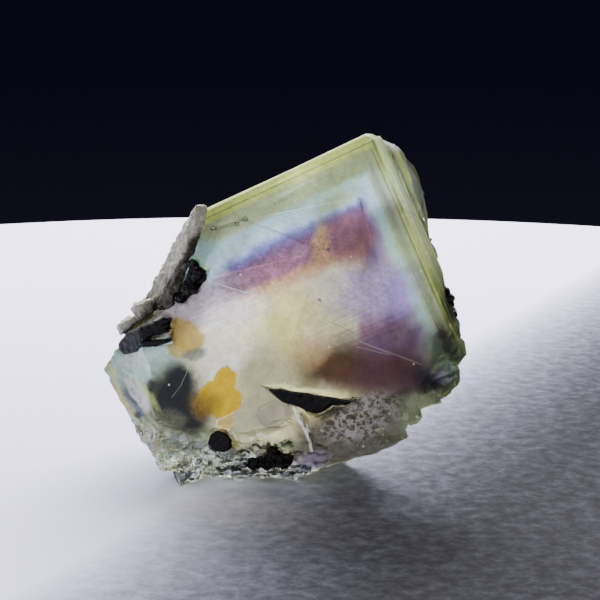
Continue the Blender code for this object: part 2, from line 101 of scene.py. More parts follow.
class Graph:
    """Short calls that add nodes to one node tree."""

    def __init__(self, tree: bpy.types.NodeTree) -> None:
        """Works on a tree."""
        self.tree = tree

    def add(self, kind: str, inputs: Optional[Inputs] = None, **fields: object) -> Node:
        """Adds a node.

        Args:
            kind: the node's type, without its ShaderNode prefix where it has one.
            inputs: values or sockets by input name or index.
            fields: the node's own settings.

        Returns:
            The node.
        """
        full = kind if kind.startswith("Node") else f"ShaderNode{kind}"
        node = self.tree.nodes.new(full)
        for name, value in fields.items():
            setattr(node, name, value)
        self.feed_all(node, inputs or {})
        return node

    def feed(self, entry: Socket, value: Value) -> None:
        """Links a socket to an input, or sets the input's own value.

        Args:
            entry: the input.
            value: the socket or the value.
        """
        if isinstance(value, bpy.types.NodeSocket):
            self.tree.links.new(value, entry)
        elif entry.type == "RGBA":
            entry.default_value = (*tuple(value)[:3], 1.0)
        else:
            entry.default_value = value

    def feed_all(self, node: Node, inputs: Inputs) -> None:
        """Feeds a node's inputs, by name or index."""
        for key, value in inputs.items():
            self.feed(node.inputs[key], value)

    def group(self, tree: bpy.types.NodeTree, inputs: Inputs) -> Node:
        """A node group, placed with its own values."""
        return self.add("Group", inputs, node_tree=tree)

    def math(self, operation: str, first: Value, second: Value = 0.0, third: Value = 0.0,
             clamp: bool = False) -> Socket:
        """A Math node's result."""
        inputs = {0: first, 1: second, 2: third}
        return self.add("Math", inputs, operation=operation, use_clamp=clamp).outputs[0]

    def times(self, first: Value, second: Value) -> Socket:
        """The product of two numbers."""
        return self.math("MULTIPLY", first, second)

    def times_add(self, first: Value, second: Value, third: Value, clamp: bool = False) -> Socket:
        """The product of two numbers, with a third added."""
        return self.math("MULTIPLY_ADD", first, second, third, clamp)

    def less(self, first: Value, second: Value) -> Socket:
        """A number less another."""
        return self.math("SUBTRACT", first, second)

    def vector(self, operation: str, first: Value, second: Value, result: str = "Vector") -> Socket:
        """A Vector Math node's vector, or its number where the result is Value."""
        made = self.add("VectorMath", {0: first, 1: second}, operation=operation)
        return made.outputs[result]

    def length(self, first: Value) -> Socket:
        """A vector's length."""
        return self.add("VectorMath", {0: first}, operation="LENGTH").outputs["Value"]

    def scaled(self, first: Value, scale: Value) -> Socket:
        """A vector times a number."""
        return self.add("VectorMath", {0: first, "Scale": scale}, operation="SCALE").outputs[0]

    def parts(self, first: Value) -> tuple[Socket, ...]:
        """A vector's three numbers."""
        return tuple(self.add("SeparateXYZ", {0: first}).outputs)

    def red(self, colour: Value) -> Socket:
        """A colour's red share, which in a cell's colour is the cell's own random number."""
        return self.add("SeparateColor", {0: colour}).outputs[0]

    def mix(self, factor: Value, first: Value, second: Value, blend: str = "MIX") -> Socket:
        """Two colours mixed."""
        inputs = {0: factor, 6: first, 7: second}
        return self.add("Mix", inputs, data_type="RGBA", blend_type=blend).outputs[2]

    def blend(self, factor: Value, first: Value, second: Value) -> Socket:
        """Two numbers mixed."""
        return self.add("Mix", {0: factor, 2: first, 3: second}, data_type="FLOAT").outputs[0]

    def laid(self, under: Value, over: Value, mask: Value, strength: float) -> Socket:
        """A colour with another laid over it, by a mask and a strength."""
        return self.mix(self.times(mask, strength), under, over)

    def band(self, value: Value, low: float, high: float) -> Socket:
        """0 below low and 1 above high, with a smooth rise between."""
        return self.add("MapRange", {"Value": value, "From Min": low, "From Max": high},
                        interpolation_type="SMOOTHSTEP").outputs[0]

    def fall(self, value: Value, low: float, high: float) -> Socket:
        """1 below low and 0 above high, with a smooth fall between."""
        return self.less(1.0, self.band(value, low, high))

    def remap(self, value: Value, low: Value, high: Value, start: Value, end: Value,
              kind: str = "LINEAR") -> Socket:
        """A number moved from the range low to high into the range start to end."""
        inputs = {"Value": value, "From Min": low, "From Max": high, "To Min": start, "To Max": end}
        return self.add("MapRange", inputs, interpolation_type=kind).outputs[0]

    def noise(self, where: Value, scale: float, detail: float = 3.0, roughness: float = 0.55,
              distortion: float = 0.0) -> Socket:
        """A Noise Texture's level."""
        return self.noise_node(where, scale, detail, roughness, distortion).outputs[0]

    def noise_node(self, where: Value, scale: float, detail: float, roughness: float = 0.55,
                   distortion: float = 0.0) -> Node:
        """A Noise Texture node."""
        return self.add("TexNoise", {"Vector": where, "Scale": scale, "Detail": detail,
                                     "Roughness": roughness, "Distortion": distortion})

    def astray(self, source: Node, reach: float) -> Socket:
        """A shift of up to half a reach each way, from a Noise Texture node."""
        return self.scaled(self.vector("SUBTRACT", source.outputs["Color"], (0.5, 0.5, 0.5)), reach)

    def cells(self, where: Value, scale: float, feature: str = "F1") -> Node:
        """A Voronoi Texture node."""
        return self.add("TexVoronoi", {"Vector": where, "Scale": scale}, feature=feature)

    def ramp(self, factor: Value, stops: Sequence[tuple[float, Colour]]) -> Socket:
        """A colour ramp's colour.

        Args:
            factor: the place on the ramp.
            stops: (position, colour) of each stop, in order.

        Returns:
            The colour.
        """
        node = self.add("ValToRGB", {0: factor})
        stripe = node.color_ramp
        stripe.interpolation = "LINEAR"
        while len(stripe.elements) > 1:
            stripe.elements.remove(stripe.elements[-1])
        for number, (position, colour) in enumerate(stops):
            stop = stripe.elements[0] if number == 0 else stripe.elements.new(position)
            stop.position = position
            stop.color = (*colour, 1.0)
        return node.outputs[0]

    def bump(self, shader: Node, height: Value, strength: float, distance: float) -> None:
        """Gives a shader a bump."""
        made = self.add("Bump", {"Height": height, "Strength": strength, "Distance": distance})
        self.feed(shader.inputs["Normal"], made.outputs[0])


def srgb(red: int, green: int, blue: int) -> Colour:
    """A colour given on the usual 0 to 255 scale, as linear numbers.

    Args:
        red: its red.
        green: its green.
        blue: its blue.

    Returns:
        The linear colour.
    """
    def linear(level: int) -> float:
        """One level as a linear number."""
        share = level / 255
        return share / 12.92 if share <= 0.04045 else ((share + 0.055) / 1.055) ** 2.4
    return linear(red), linear(green), linear(blue)


def new_material(name: str) -> tuple[bpy.types.Material, Graph, Node]:
    """A new material.

    Args:
        name: the material's name.

    Returns:
        The material, its graph and its Principled BSDF.
    """
    material = bpy.data.materials.new(name)
    material.use_nodes = True
    return material, Graph(material.node_tree), material.node_tree.nodes["Principled BSDF"]


def new_group(name: str, entries: Sequence[tuple[str, str, float]],
              results: Sequence[tuple[str, str]]) -> tuple[Graph, dict[str, Socket], Node]:
    """An empty shader node group.

    Args:
        name: the group's name.
        entries: (name, socket kind, default) of each input.
        results: (name, socket kind) of each output.

    Returns:
        Its graph, its inputs by name and its output node.
    """
    tree = bpy.data.node_groups.new(name, "ShaderNodeTree")
    for label, kind, default in entries:
        made = tree.interface.new_socket(
            name=label, in_out="INPUT", socket_type=f"NodeSocket{kind}")
        if kind == "Float":
            made.default_value = default
    for label, kind in results:
        tree.interface.new_socket(name=label, in_out="OUTPUT", socket_type=f"NodeSocket{kind}")
    graph = Graph(tree)
    entry = graph.add("NodeGroupInput")
    given = {label: entry.outputs[label] for label, _, _ in entries}
    return graph, given, graph.add("NodeGroupOutput")


class Effects:
    """The shared effects, each a node group that is built once."""

    def __init__(self) -> None:
        """Builds every group."""
        self.crystal_place = self._crystal_place()
        self.soft_patch = self._soft_patch(turned=False)
        self.turned_patch = self._soft_patch(turned=True)
        self.granular = self._granular()
        self.fine_scratches = self._fine_scratches()
        self.stroke = self._stroke()
        self.lace = self._lace()

    def places(self, graph: Graph) -> Node:
        """The crystal_place group, placed on the object's own coordinates."""
        place = graph.add("TexCoord").outputs["Object"]
        return graph.group(self.crystal_place, {"Place": place})

    def oval(self, graph: Graph, across: Socket, down: Socket, middle: Span, size: Span,
             turn: float = 0.0, softness: float = 0.5, strength: float = 1.0) -> Socket:
        """A soft patch's mask.

        Args:
            graph: the graph it goes in.
            across: the distance to the left.
            down: the distance downwards.
            middle: the patch's middle.
            size: its reach across and along.
            turn: its turn in degrees.
            softness: how much of its reach its edge takes.
            strength: the mask's level inside.

        Returns:
            The mask.
        """
        inputs: Inputs = {
            "Left": graph.less(across, middle[0]), "Down": graph.less(down, middle[1]),
            "Reach": (*size, 1.0), "Inner": 1.0 - softness, "Outer": 1.0 + softness,
            "Strength": strength}
        if turn == 0.0:
            return graph.group(self.soft_patch, inputs).outputs[0]
        return graph.group(self.turned_patch, inputs | {"Turn": math.radians(turn)}).outputs[0]

    def _crystal_place(self) -> bpy.types.NodeTree:
        """Turns an object place into (left, back, down) millimetres, straight and gently warped.

        Returns:
            The group.
        """
        graph, given, result = new_group(
            "crystal_place", [("Place", "Vector", 0.0), ("Warp", "Float", 0.35)],
            [("Straight", "Vector"), ("Warped", "Vector")])
        turn = GROWTH.turn().transposed()
        placed = graph.add("Mapping", {
            "Vector": given["Place"], "Location": -(turn @ Vector(GROWTH.corner)),
            "Rotation": turn.to_euler(), "Scale": (1 / MM, 1 / MM, 1 / MM)})
        straight = graph.vector("MULTIPLY", placed.outputs[0], (-1.0, 1.0, -1.0))
        wide = graph.noise_node(straight, 0.32, 2.0)
        fine = graph.noise_node(straight, 1.5, 3.0, 0.68)
        wide_shift = graph.astray(wide, 4.0)
        fine_shift = graph.astray(fine, 1.8)
        aside = graph.scaled(graph.vector("ADD", wide_shift, fine_shift), given["Warp"])
        graph.feed_all(result, {
            "Straight": straight, "Warped": graph.vector("ADD", straight, aside)})
        return graph.tree

    def _soft_patch(self, turned: bool) -> bpy.types.NodeTree:
        """A soft-edged oval, from the distances to the left of and below its middle.

        Args:
            turned: whether it is turned by an angle.

        Returns:
            The group.
        """
        entries = [("Left", "Float", 0.0), ("Down", "Float", 0.0), ("Reach", "Vector", 1.0),
                   ("Inner", "Float", 0.5), ("Outer", "Float", 1.5), ("Strength", "Float", 1.0)]
        if turned:
            entries.append(("Turn", "Float", 0.0))
        name = "turned_patch" if turned else "soft_patch"
        graph, given, result = new_group(name, entries, [("Mask", "Float")])
        flat = graph.add("CombineXYZ", {0: given["Left"], 1: given["Down"]}).outputs[0]
        if turned:
            flat = graph.add("VectorRotate", {"Vector": flat, "Angle": given["Turn"]},
                             rotation_type="Z_AXIS").outputs[0]
        reach = graph.length(graph.vector("DIVIDE", flat, given["Reach"]))
        edge = graph.remap(
            reach, given["Inner"], given["Outer"], given["Strength"], 0.0, "SMOOTHSTEP")
        graph.feed(result.inputs["Mask"], edge)
        return graph.tree

    def _granular(self) -> bpy.types.NodeTree:
        """Crumbly grain: its height, a speckle for each crumb and a wide cloud.

        Returns:
            The group.
        """
        graph, given, result = new_group(
            "granular", [("Place", "Vector", 0.0), ("Grain", "Float", 2.0)],
            [("Height", "Float"), ("Speckle", "Float"), ("Cloud", "Float")])
        place = graph.scaled(given["Place"], given["Grain"])
        crumbs = graph.cells(place, 1.0)
        dust = graph.noise(place, 2.6, 5.0, 0.7)
        cloud = graph.noise(place, 0.28, 3.0, 0.6)
        lifted = graph.less(1.0, crumbs.outputs["Distance"])
        graph.feed_all(result, {
            "Height": graph.times_add(dust, 0.7, lifted),
            "Speckle": graph.red(crumbs.outputs["Color"]), "Cloud": cloud})
        return graph.tree

    def _fine_scratches(self) -> bpy.types.NodeTree:
        """Hairline scratches in two directions over the front face.

        Returns:
            The group.
        """
        graph, given, result = new_group(
            "fine_scratches", [("Place", "Vector", 0.0)], [("Mask", "Float")])
        total: Optional[Socket] = None
        for number, (angle, scale) in enumerate(((0.35, 1.1), (-0.62, 0.8))):
            turned = graph.add("Mapping", {
                "Vector": given["Place"], "Location": (3.7 * number, 0.0, 1.9 * number),
                "Rotation": (0.0, angle, 0.0), "Scale": (0.09 * scale, 0.02, 2.4 * scale)})
            streak = graph.noise(turned.outputs[0], 1.0, 2.0, 0.5)
            off_centre = graph.math("ABSOLUTE", graph.less(streak, 0.5))
            line = graph.remap(off_centre, 0.0, 0.045, 1.0, 0.0)
            gate = graph.band(graph.noise(given["Place"], 0.23 + 0.07 * number, 2.0), 0.53, 0.66)
            mask = graph.times(line, gate)
            total = mask if total is None else graph.math("MAXIMUM", total, mask)
        graph.feed(result.inputs["Mask"], total)
        return graph.tree

    def _stroke(self) -> bpy.types.NodeTree:
        """A straight fine line between two places on the front face.

        Returns:
            The group.
        """
        graph, given, result = new_group("stroke", [
            ("Place", "Vector", 0.0), ("Start", "Vector", 0.0), ("Span", "Vector", 0.0),
            ("Along", "Vector", 0.0), ("Inner", "Float", 0.02), ("Outer", "Float", 0.05)],
            [("Mask", "Float")])
        away = graph.vector("SUBTRACT", given["Place"], given["Start"])
        dot = graph.vector("DOT_PRODUCT", away, given["Along"], "Value")
        share = graph.math("MULTIPLY", dot, 1.0, clamp=True)
        short = graph.vector("SUBTRACT", away, graph.scaled(given["Span"], share))
        fade = graph.remap(graph.length(short), given["Inner"], given["Outer"], 1.0, 0.0)
        graph.feed(result.inputs["Mask"], fade)
        return graph.tree

    def _lace(self) -> bpy.types.NodeTree:
        """A torn net, as an etched surface has: its threads and its holes.

        Returns:
            The group.
        """
        graph, given, result = new_group(
            "lace", [("Place", "Vector", 0.0), ("Grain", "Float", 1.6)],
            [("Threads", "Float"), ("Holes", "Float")])
        where = graph.scaled(given["Place"], given["Grain"])
        wander = graph.astray(graph.noise_node(where, 0.9, 2.0, 0.7), 2.4)
        edge = graph.cells(graph.vector("ADD", where, wander), 1.0, "DISTANCE_TO_EDGE")
        ragged = graph.times_add(
            graph.noise(where, 2.2, 2.0, 0.7), 0.24, edge.outputs["Distance"])
        graph.feed_all(result, {
            "Threads": graph.remap(ragged, 0.14, 0.32, 1.0, 0.0),
            "Holes": graph.band(ragged, 0.30, 0.5)})
        return graph.tree


# ------------------------------------------------------------------ the crystal's colours

class Tint(Enum):
    """The colours in the crystal and of the light and shade painted on it, on the 0 to 255 scale.
    """

    LIME = (240, 255, 128)
    STRAW = (226, 234, 140)
    SAGE = (198, 208, 158)
    TAUPE = (160, 164, 138)
    OLIVE = (118, 126, 92)
    MINT = (214, 255, 250)
    ICE = (202, 224, 236)
    SKY = (150, 162, 206)
    VIOLET = (112, 100, 162)
    LAVENDER = (203, 176, 240)
    MAUVE = (172, 114, 130)
    ROSE = (172, 106, 124)
    BARK = (142, 146, 92)
    BLUSH = (206, 190, 196)
    PLUM = (128, 84, 110)
    DUSK = (103, 72, 100)
    WINE = (80, 38, 46)
    APRICOT = (226, 168, 116)
    AMBER = (66, 40, 15)
    CREAM = (252, 241, 184)
    PEARL = (248, 240, 228)
    BUTTER = (222, 217, 122)
    MOSS = (197, 200, 98)
    FOG = (136, 133, 98)
    ASH = (106, 100, 88)
    MUSTARD = (192, 149, 0)
    OCHRE = (186, 152, 52)
    RUST = (104, 72, 6)
    SLATE = (9, 12, 17)
    HAZE = (118, 134, 164)
    FROST = (236, 242, 248)
    # painted highlight: GLINT paints glints, reflections and sparkles, not a colour of the crystal
    GLINT = (255, 255, 250)
    LICHEN = (96, 98, 78)
    UMBER = (74, 62, 50)

    @property
    def linear(self) -> Colour:
        """The colour as linear numbers."""
        return srgb(*self.value)


@dataclass(frozen=True)
class Patch:
    """A soft-edged oval of colour in the crystal, or of highlight, glow or shade painted on it.

    Sizes are millimetres across and along, before it is turned by an angle in degrees. Past its
    depth, in millimetres from the front face, it fades out.
    """

    tint: Tint
    left: float
    down: float
    across: float
    along: float
    turn: float = 0.0
    softness: float = 0.5
    strength: float = 0.8
    depth: float = 8.0


Zones = tuple[tuple[float, Tint], ...]      # (place in mm, colour) along a length


@dataclass(frozen=True)
class Hairline:
    """A fine line on the front face, through (left, down) places in millimetres."""

    tint: Tint
    places: tuple[tuple[float, float], ...]
    width: float = 0.07
    strength: float = 0.7


@dataclass(frozen=True)
class Places:
    """What each layer of the crystal's colour reads.

    Straight and warped are places as (left, back, down) in millimetres, and spot and bent are
    their three numbers. Broken is 1 on a break and 0 on a growth face.
    """

    graph: Graph
    effects: Effects
    straight: Socket
    warped: Socket
    spot: tuple[Socket, ...]
    bent: tuple[Socket, ...]
    broken: Socket


@dataclass(frozen=True)
class FluoriteFinish:
    """Clear zoned fluorite: polished growth faces, duller breaks."""

    ior: float = 1.434
    transmission: float = 0.8
    absorption: Colour = (0.84, 0.94, 0.80)
    density: float = 22.0
    # how far in from the upper face each colour of the top arm lies, in mm
    top_zones: Zones = (
        (0.0, Tint.LIME), (0.72, Tint.LIME), (0.80, Tint.BARK), (0.90, Tint.LIME),
        (1.25, Tint.STRAW), (1.45, Tint.SAGE), (2.8, Tint.SAGE), (3.5, Tint.MINT),
        (4.3, Tint.MINT), (4.75, Tint.ICE), (5.1, Tint.SKY), (5.5, Tint.VIOLET),
        (6.1, Tint.PLUM), (7.2, Tint.MAUVE), (8.0, Tint.MAUVE), (8.7, Tint.APRICOT),
        (9.8, Tint.CREAM), (12.0, Tint.CREAM))
    # and in from the right face; its first narrow stops paint a highlight line, then a darker line
    side_zones: Zones = (
        (0.0, Tint.STRAW), (0.30, Tint.MOSS), (0.45, Tint.STRAW), (0.62, Tint.BARK),
        (0.74, Tint.SAGE), (1.25, Tint.TAUPE), (1.7, Tint.SAGE), (2.05, Tint.MINT),
        (2.6, Tint.MINT), (2.9, Tint.ICE), (3.3, Tint.LAVENDER), (4.2, Tint.VIOLET),
        (5.2, Tint.PLUM), (7.6, Tint.MAUVE), (9.2, Tint.APRICOT), (10.4, Tint.CREAM))
    corner_slope: float = 1.9               # how much faster the zones pass across the right arm
    mitre: float = 0.8                      # how softly the two arms meet, in mm
    rim_left: Span = (0.8, 3.0)             # the zones run straight up to the first, in mm,
    rim_down: Span = (1.8, 4.0)             # and wander from the second on
    left_end: Span = (22.5, 25.0)           # where the zones give way on the left and below
    lower_end: Span = (21.6, 23.2)
    # painted reflection: the GLINT lines are real cracks painted bright as light catches them; the
    # other lines are marks in their own colours
    hairlines: tuple[Hairline, ...] = (
        Hairline(Tint.GLINT, ((16.2, 19.4), (16.15, 21.2), (16.8, 23.5)), 0.2, 1.0),
        Hairline(Tint.PEARL, ((21.8, 11.0), (22.6, 11.6), (23.6, 12.2), (25.0, 13.5),
                              (26.3, 14.2)), 0.05, 0.16),
        Hairline(Tint.GLINT, ((23.2, 17.7), (21.4, 17.65)), 0.06, 0.45),
        Hairline(Tint.GLINT, ((23.2, 17.7), (23.9, 18.5)), 0.1, 0.5),
        Hairline(Tint.GLINT, ((22.3, 19.2), (22.3, 20.6)), 0.12, 0.5),
        Hairline(Tint.LICHEN, ((17.5, 18.0), (19.0, 18.1), (19.6, 18.6), (19.5, 19.4),
                               (19.1, 20.1), (18.5, 20.3), (17.0, 20.1)), 0.08, 0.7),
        Hairline(Tint.GLINT, ((21.4, 21.0), (21.0, 20.45), (20.1, 20.3), (19.75, 20.9)),
                 0.12, 0.7),
        Hairline(Tint.FROST, ((18.9, 5.97), (17.1, 7.43), (14.85, 9.17)), 0.07, 0.5),
        Hairline(Tint.FROST, ((18.9, 6.85), (16.9, 8.8)), 0.06, 0.4),
        Hairline(Tint.BLUSH, ((8.3, 16.35), (4.1, 20.3)), 0.1, 0.22),
        Hairline(Tint.BLUSH, ((8.74, 16.66), (6.3, 18.44)), 0.05, 0.25),
        Hairline(Tint.LICHEN, ((9.9, 13.8), (8.3, 15.7)), 0.07, 0.4),
    )
    sway: float = 0.2                       # how much of the zones' warp the fine lines take
    line_depth: float = 0.06                # how slowly they fade behind the front face
    scratched: float = 0.55                 # how strongly the fine scratches show
    # the etched net: (left, down, across, along), and its cells for each mm
    lace_place: tuple[float, float, float, float] = (11.2, 22.6, 3.8, 1.8)
    lace_grain: float = 1.15
    # where the corner is worn to glassy lumps: (share of left, from, to) of a line across the face
    worn: Triple = (0.75, 37.2, 38.6)
    worn_start: float = 0.8                 # how far past the line the lumps' colour starts, in mm
    lump_grain: float = 0.95
    # painted highlight and shade: each lump takes one of these, bright as lit glass or dark
    lump_tints: tuple[Tint, ...] = (
        Tint.LICHEN, Tint.HAZE, Tint.FROST, Tint.GLINT, Tint.FOG, Tint.GLINT)
    # (left, down, across, along, strength)
    grainy: tuple[tuple[float, ...], ...] = (
        (14.0, 7.2, 6.5, 1.8, 0.38), (6.0, 7.6, 3.0, 2.4, 0.2), (6.0, 12.4, 3.4, 2.2, 0.28),
        (25.8, 14.6, 2.8, 3.2, 0.3))
    # small round marks: places, size in mm, and rings as (share of the size, tint); GLINT is a
    # painted highlight
    pits: tuple[tuple[tuple[Span, ...], float, Zones], ...] = (
        (((16.4, 2.0), (14.5, 2.3), (13.6, 2.3)), 0.26, ((1.0, Tint.UMBER), (0.4, Tint.GLINT))),
        (((10.14, 11.49), (7.8, 7.9)), 0.18, ((1.0, Tint.DUSK),)))
    pit_edge: Span = (0.6, 1.3)             # where a ring's edge starts and ends, of its size
    # (left, down, across, along, angle)
    combed: tuple[tuple[float, ...], ...] = (
        (18.0, 8.6, 4.2, 2.2, -30.0), (8.0, 15.6, 4.4, 2.4, -42.0))
    ridge_span: float = 12.0                # the length that the ridges' ramp takes, in mm
    # the right face from front to back, in mm; the narrow LIME and STRAW stops are painted
    # highlights
    ridges: Zones = (
        (0.0, Tint.LIME), (0.35, Tint.BARK), (0.6, Tint.STRAW), (0.9, Tint.SAGE),
        (1.2, Tint.STRAW), (1.8, Tint.TAUPE), (2.3, Tint.SAGE), (3.0, Tint.OLIVE),
        (3.3, Tint.STRAW), (4.2, Tint.SAGE), (4.9, Tint.LICHEN), (5.6, Tint.BARK),
        (7.4, Tint.MOSS), (8.6, Tint.BARK), (10.0, Tint.LICHEN))
    right_skin: Span = (0.22, 0.5)          # how far in from the right face they reach, in mm
    gloss: float = 0.3                      # 0.5 is the full reflection
    dullness: Span = (0.12, 0.34)           # the roughness of a growth face and of a break
    uneven: float = 0.12                    # how much the fine grain adds to it
    relief: float = 0.12 * MM
    deepening: float = 1.55                 # the power that deepens every colour
    pale_back: float = 0.45                 # how far the colours fade deep in the crystal,
    pale_depth: Span = (4.0, 11.0)          # from the first to the second, in mm behind the front
    pale_left: Span = (0.5, 2.0)            # and to the left of the right face
    patches: tuple[Patch, ...] = (
        Patch(Tint.MINT, 18.8, 4.2, 2.3, 1.9, 0.0, 0.35, 0.95),
        Patch(Tint.BLUSH, 21.6, 7.6, 4.6, 1.9, -8.0, 0.4, 0.95, 20.0),
        Patch(Tint.BUTTER, 13.2, 11.4, 2.4, 2.4, 0.0, 0.6, 0.8),
        Patch(Tint.MOSS, 14.4, 13.9, 1.3, 3.4, -12.0, 0.7, 0.8),
        Patch(Tint.MOSS, 5.2, 4.1, 1.6, 0.6, 0.0, 0.7, 0.6),
        Patch(Tint.ROSE, 5.6, 7.6, 2.4, 2.2, 0.0, 0.35, 0.85),
        Patch(Tint.APRICOT, 8.2, 7.4, 0.7, 2.2, 24.0, 0.5, 0.9),
        Patch(Tint.AMBER, 16.4, 7.4, 1.3, 0.5, 20.0, 0.7, 0.5),
        Patch(Tint.LAVENDER, 5.8, 12.6, 3.6, 2.4, 10.0, 0.5, 0.9),
        Patch(Tint.PEARL, 9.0, 11.0, 1.6, 1.3, 0.0, 0.7, 0.6),
        Patch(Tint.LAVENDER, 3.6, 14.2, 0.9, 2.2, 10.0, 0.5, 0.8),
        Patch(Tint.DUSK, 6.3, 17.7, 4.6, 2.5, 8.0, 0.7, 0.95),
        Patch(Tint.AMBER, 11.2, 17.7, 4.3, 2.2, 20.0, 0.65, 1.0),
        Patch(Tint.WINE, 7.2, 19.9, 3.6, 1.6, 8.0, 0.6, 0.95),
        Patch(Tint.APRICOT, 12.9, 15.4, 1.6, 1.2, 0.0, 0.7, 0.45),
        Patch(Tint.FOG, 17.6, 15.8, 3.0, 3.4, 0.0, 0.6, 0.9),
        Patch(Tint.PEARL, 20.4, 12.4, 2.4, 1.8, 0.0, 0.5, 0.85),
        Patch(Tint.CREAM, 18.6, 10.6, 2.6, 1.5, -10.0, 0.6, 0.8),
        Patch(Tint.PEARL, 18.0, 9.6, 3.0, 1.5, 0.0, 0.6, 0.8),
        Patch(Tint.FOG, 20.6, 18.6, 3.4, 2.0, 0.0, 0.5, 0.8),
        Patch(Tint.ASH, 17.9, 19.2, 1.8, 1.2, 0.0, 0.3, 0.6),
        Patch(Tint.ASH, 12.6, 23.2, 6.4, 2.3, 0.0, 0.3, 0.95),
        Patch(Tint.UMBER, 10.4, 22.0, 5.2, 1.5, 0.0, 0.6, 0.75),
        Patch(Tint.ASH, 20.6, 22.4, 2.6, 1.4, 0.0, 0.4, 0.8),
        Patch(Tint.TAUPE, 5.4, 24.2, 3.4, 2.0, 0.0, 0.4, 0.9),
        Patch(Tint.LAVENDER, 17.6, 24.4, 1.6, 0.8, 0.0, 0.6, 0.5),
        Patch(Tint.MINT, 28.4, 10.2, 4.4, 1.9, 10.0, 0.4, 0.95),
        # painted highlight: this GLINT patch is the bright white spot at the left edge
        Patch(Tint.GLINT, 28.6, 9.7, 1.9, 0.7, 10.0, 0.6, 0.9),
        # painted shade: the ASH and SLATE patches down to the STRAW one are the dark reflection
        # seen through the clear lower left
        Patch(Tint.ASH, 25.8, 14.6, 3.2, 3.4, 12.0, 0.6, 0.8, 3.0),
        Patch(Tint.SLATE, 26.2, 14.3, 2.4, 2.3, 12.0, 0.5, 1.0, 3.0),
        Patch(Tint.SLATE, 24.8, 13.2, 1.4, 1.5, 30.0, 0.5, 1.0, 3.0),
        Patch(Tint.SLATE, 25.4, 16.6, 1.6, 1.5, -30.0, 0.5, 1.0, 3.0),
        Patch(Tint.SLATE, 27.8, 12.4, 0.9, 0.6, 0.0, 0.5, 0.8, 3.0),
        Patch(Tint.ASH, 27.0, 15.9, 0.9, 0.6, 30.0, 0.6, 0.7, 3.0),
        # painted glow: this STRAW streak lies between the painted highlight and the painted shade
        Patch(Tint.STRAW, 28.3, 13.1, 0.4, 1.6, -16.0, 0.5, 0.8, 3.0),
        # painted shade in HAZE under a GLINT painted highlight along the left edge, then a small
        # dark SLATE chip
        Patch(Tint.HAZE, 30.3, 13.2, 0.7, 2.0, -16.0, 0.4, 0.95),
        Patch(Tint.GLINT, 29.5, 12.4, 0.75, 1.9, -16.0, 0.3, 1.0),
        Patch(Tint.SLATE, 30.5, 14.3, 0.5, 0.35, 0.0, 0.4, 0.9),
        # painted glow: two thin CREAM strips of backlight along the left edge
        Patch(Tint.CREAM, 31.6, 12.0, 0.4, 4.6, 0.0, 0.3, 0.9),
        Patch(Tint.CREAM, 30.3, 18.8, 0.4, 3.2, 22.0, 0.3, 0.9),
        Patch(Tint.OCHRE, 22.8, 9.6, 1.5, 1.8, -15.0, 0.14, 0.95, 3.0),
        Patch(Tint.OCHRE, 23.9, 10.4, 1.1, 1.1, 0.0, 0.2, 0.9, 3.0),
        Patch(Tint.LICHEN, 22.9, 11.4, 1.1, 0.6, 10.0, 0.4, 0.9, 3.0),
        Patch(Tint.MUSTARD, 22.2, 16.0, 2.1, 1.8, 20.0, 0.08, 1.0, 3.0),
        Patch(Tint.MUSTARD, 20.8, 14.5, 1.0, 1.1, 0.0, 0.10, 1.0, 3.0),
        Patch(Tint.MUSTARD, 22.6, 18.0, 1.0, 0.8, 0.0, 0.3, 0.7, 3.0),
        Patch(Tint.RUST, 23.9, 16.0, 1.1, 1.3, 0.0, 0.6, 0.9, 3.0),
        Patch(Tint.RUST, 22.6, 16.2, 0.6, 0.7, 0.0, 0.8, 0.5, 3.0),
        Patch(Tint.OLIVE, 1.9, 20.8, 2.0, 2.6, 0.0, 0.4, 0.8),
        Patch(Tint.SLATE, 4.4, 21.6, 0.9, 1.2, 0.0, 0.5, 0.75),
        Patch(Tint.SLATE, 1.2, 19.4, 0.5, 1.6, 0.0, 0.5, 0.75),
        Patch(Tint.OLIVE, 18.5, 22.1, 0.6, 0.4, 0.0, 0.3, 0.9),
    )

    def build(self, effects: Effects) -> bpy.types.Material:
        """The crystal's material.

        Args:
            effects: the shared node groups.

        Returns:
            The material.
        """
        material, graph, shader = new_material("zoned_fluorite")
        sites = effects.places(graph)
        straight, warped = sites.outputs["Straight"], sites.outputs["Warped"]
        spot, bent = graph.parts(straight), graph.parts(warped)
        broken = graph.add("Attribute", attribute_name="broken").outputs["Fac"]
        at = Places(graph, effects, straight, warped, spot, bent, broken)
        colour = self._zones(at)
        colour = self._patches(at, colour)
        colour = self._pits(at, colour)
        colour = self._laced(at, colour)
        colour = self._worn_lumps(at, colour)
        colour = self._right_face(at, colour)
        colour, grain = self._mottled(at, colour)
        colour = self._hairlines(at, colour)
        colour = self._scratched(at, colour)
        colour = graph.add("Gamma", {"Color": colour, "Gamma": self.deepening}).outputs[0]
        colour = self._paler_back(at, colour)
        graph.feed_all(shader, {
            "Base Color": colour, "Metallic": 0.0, "IOR": self.ior,
            "Specular IOR Level": self.gloss, "Transmission Weight": self.transmission})
        dull = graph.blend(broken, *self.dullness)
        graph.feed(shader.inputs["Roughness"],
                   graph.times_add(grain, self.uneven, dull, clamp=True))
        rough = graph.noise(straight, 2.2, 3.0, 0.72)
        graph.bump(shader, graph.times(rough, broken), 0.6, self.relief)
        absorber = graph.add("VolumeAbsorption", {
            "Color": self.absorption, "Density": self.density})
        output = material.node_tree.nodes["Material Output"]
        graph.feed(output.inputs["Volume"], absorber.outputs[0])
        return material

    @staticmethod
    def _striped(graph: Graph, place: Socket, zones: Zones, span: float) -> Socket:
        """Colours one after another along a length in millimetres."""
        return graph.ramp(graph.math("DIVIDE", place, span),
                          [(depth / span, tint.linear) for depth, tint in zones])

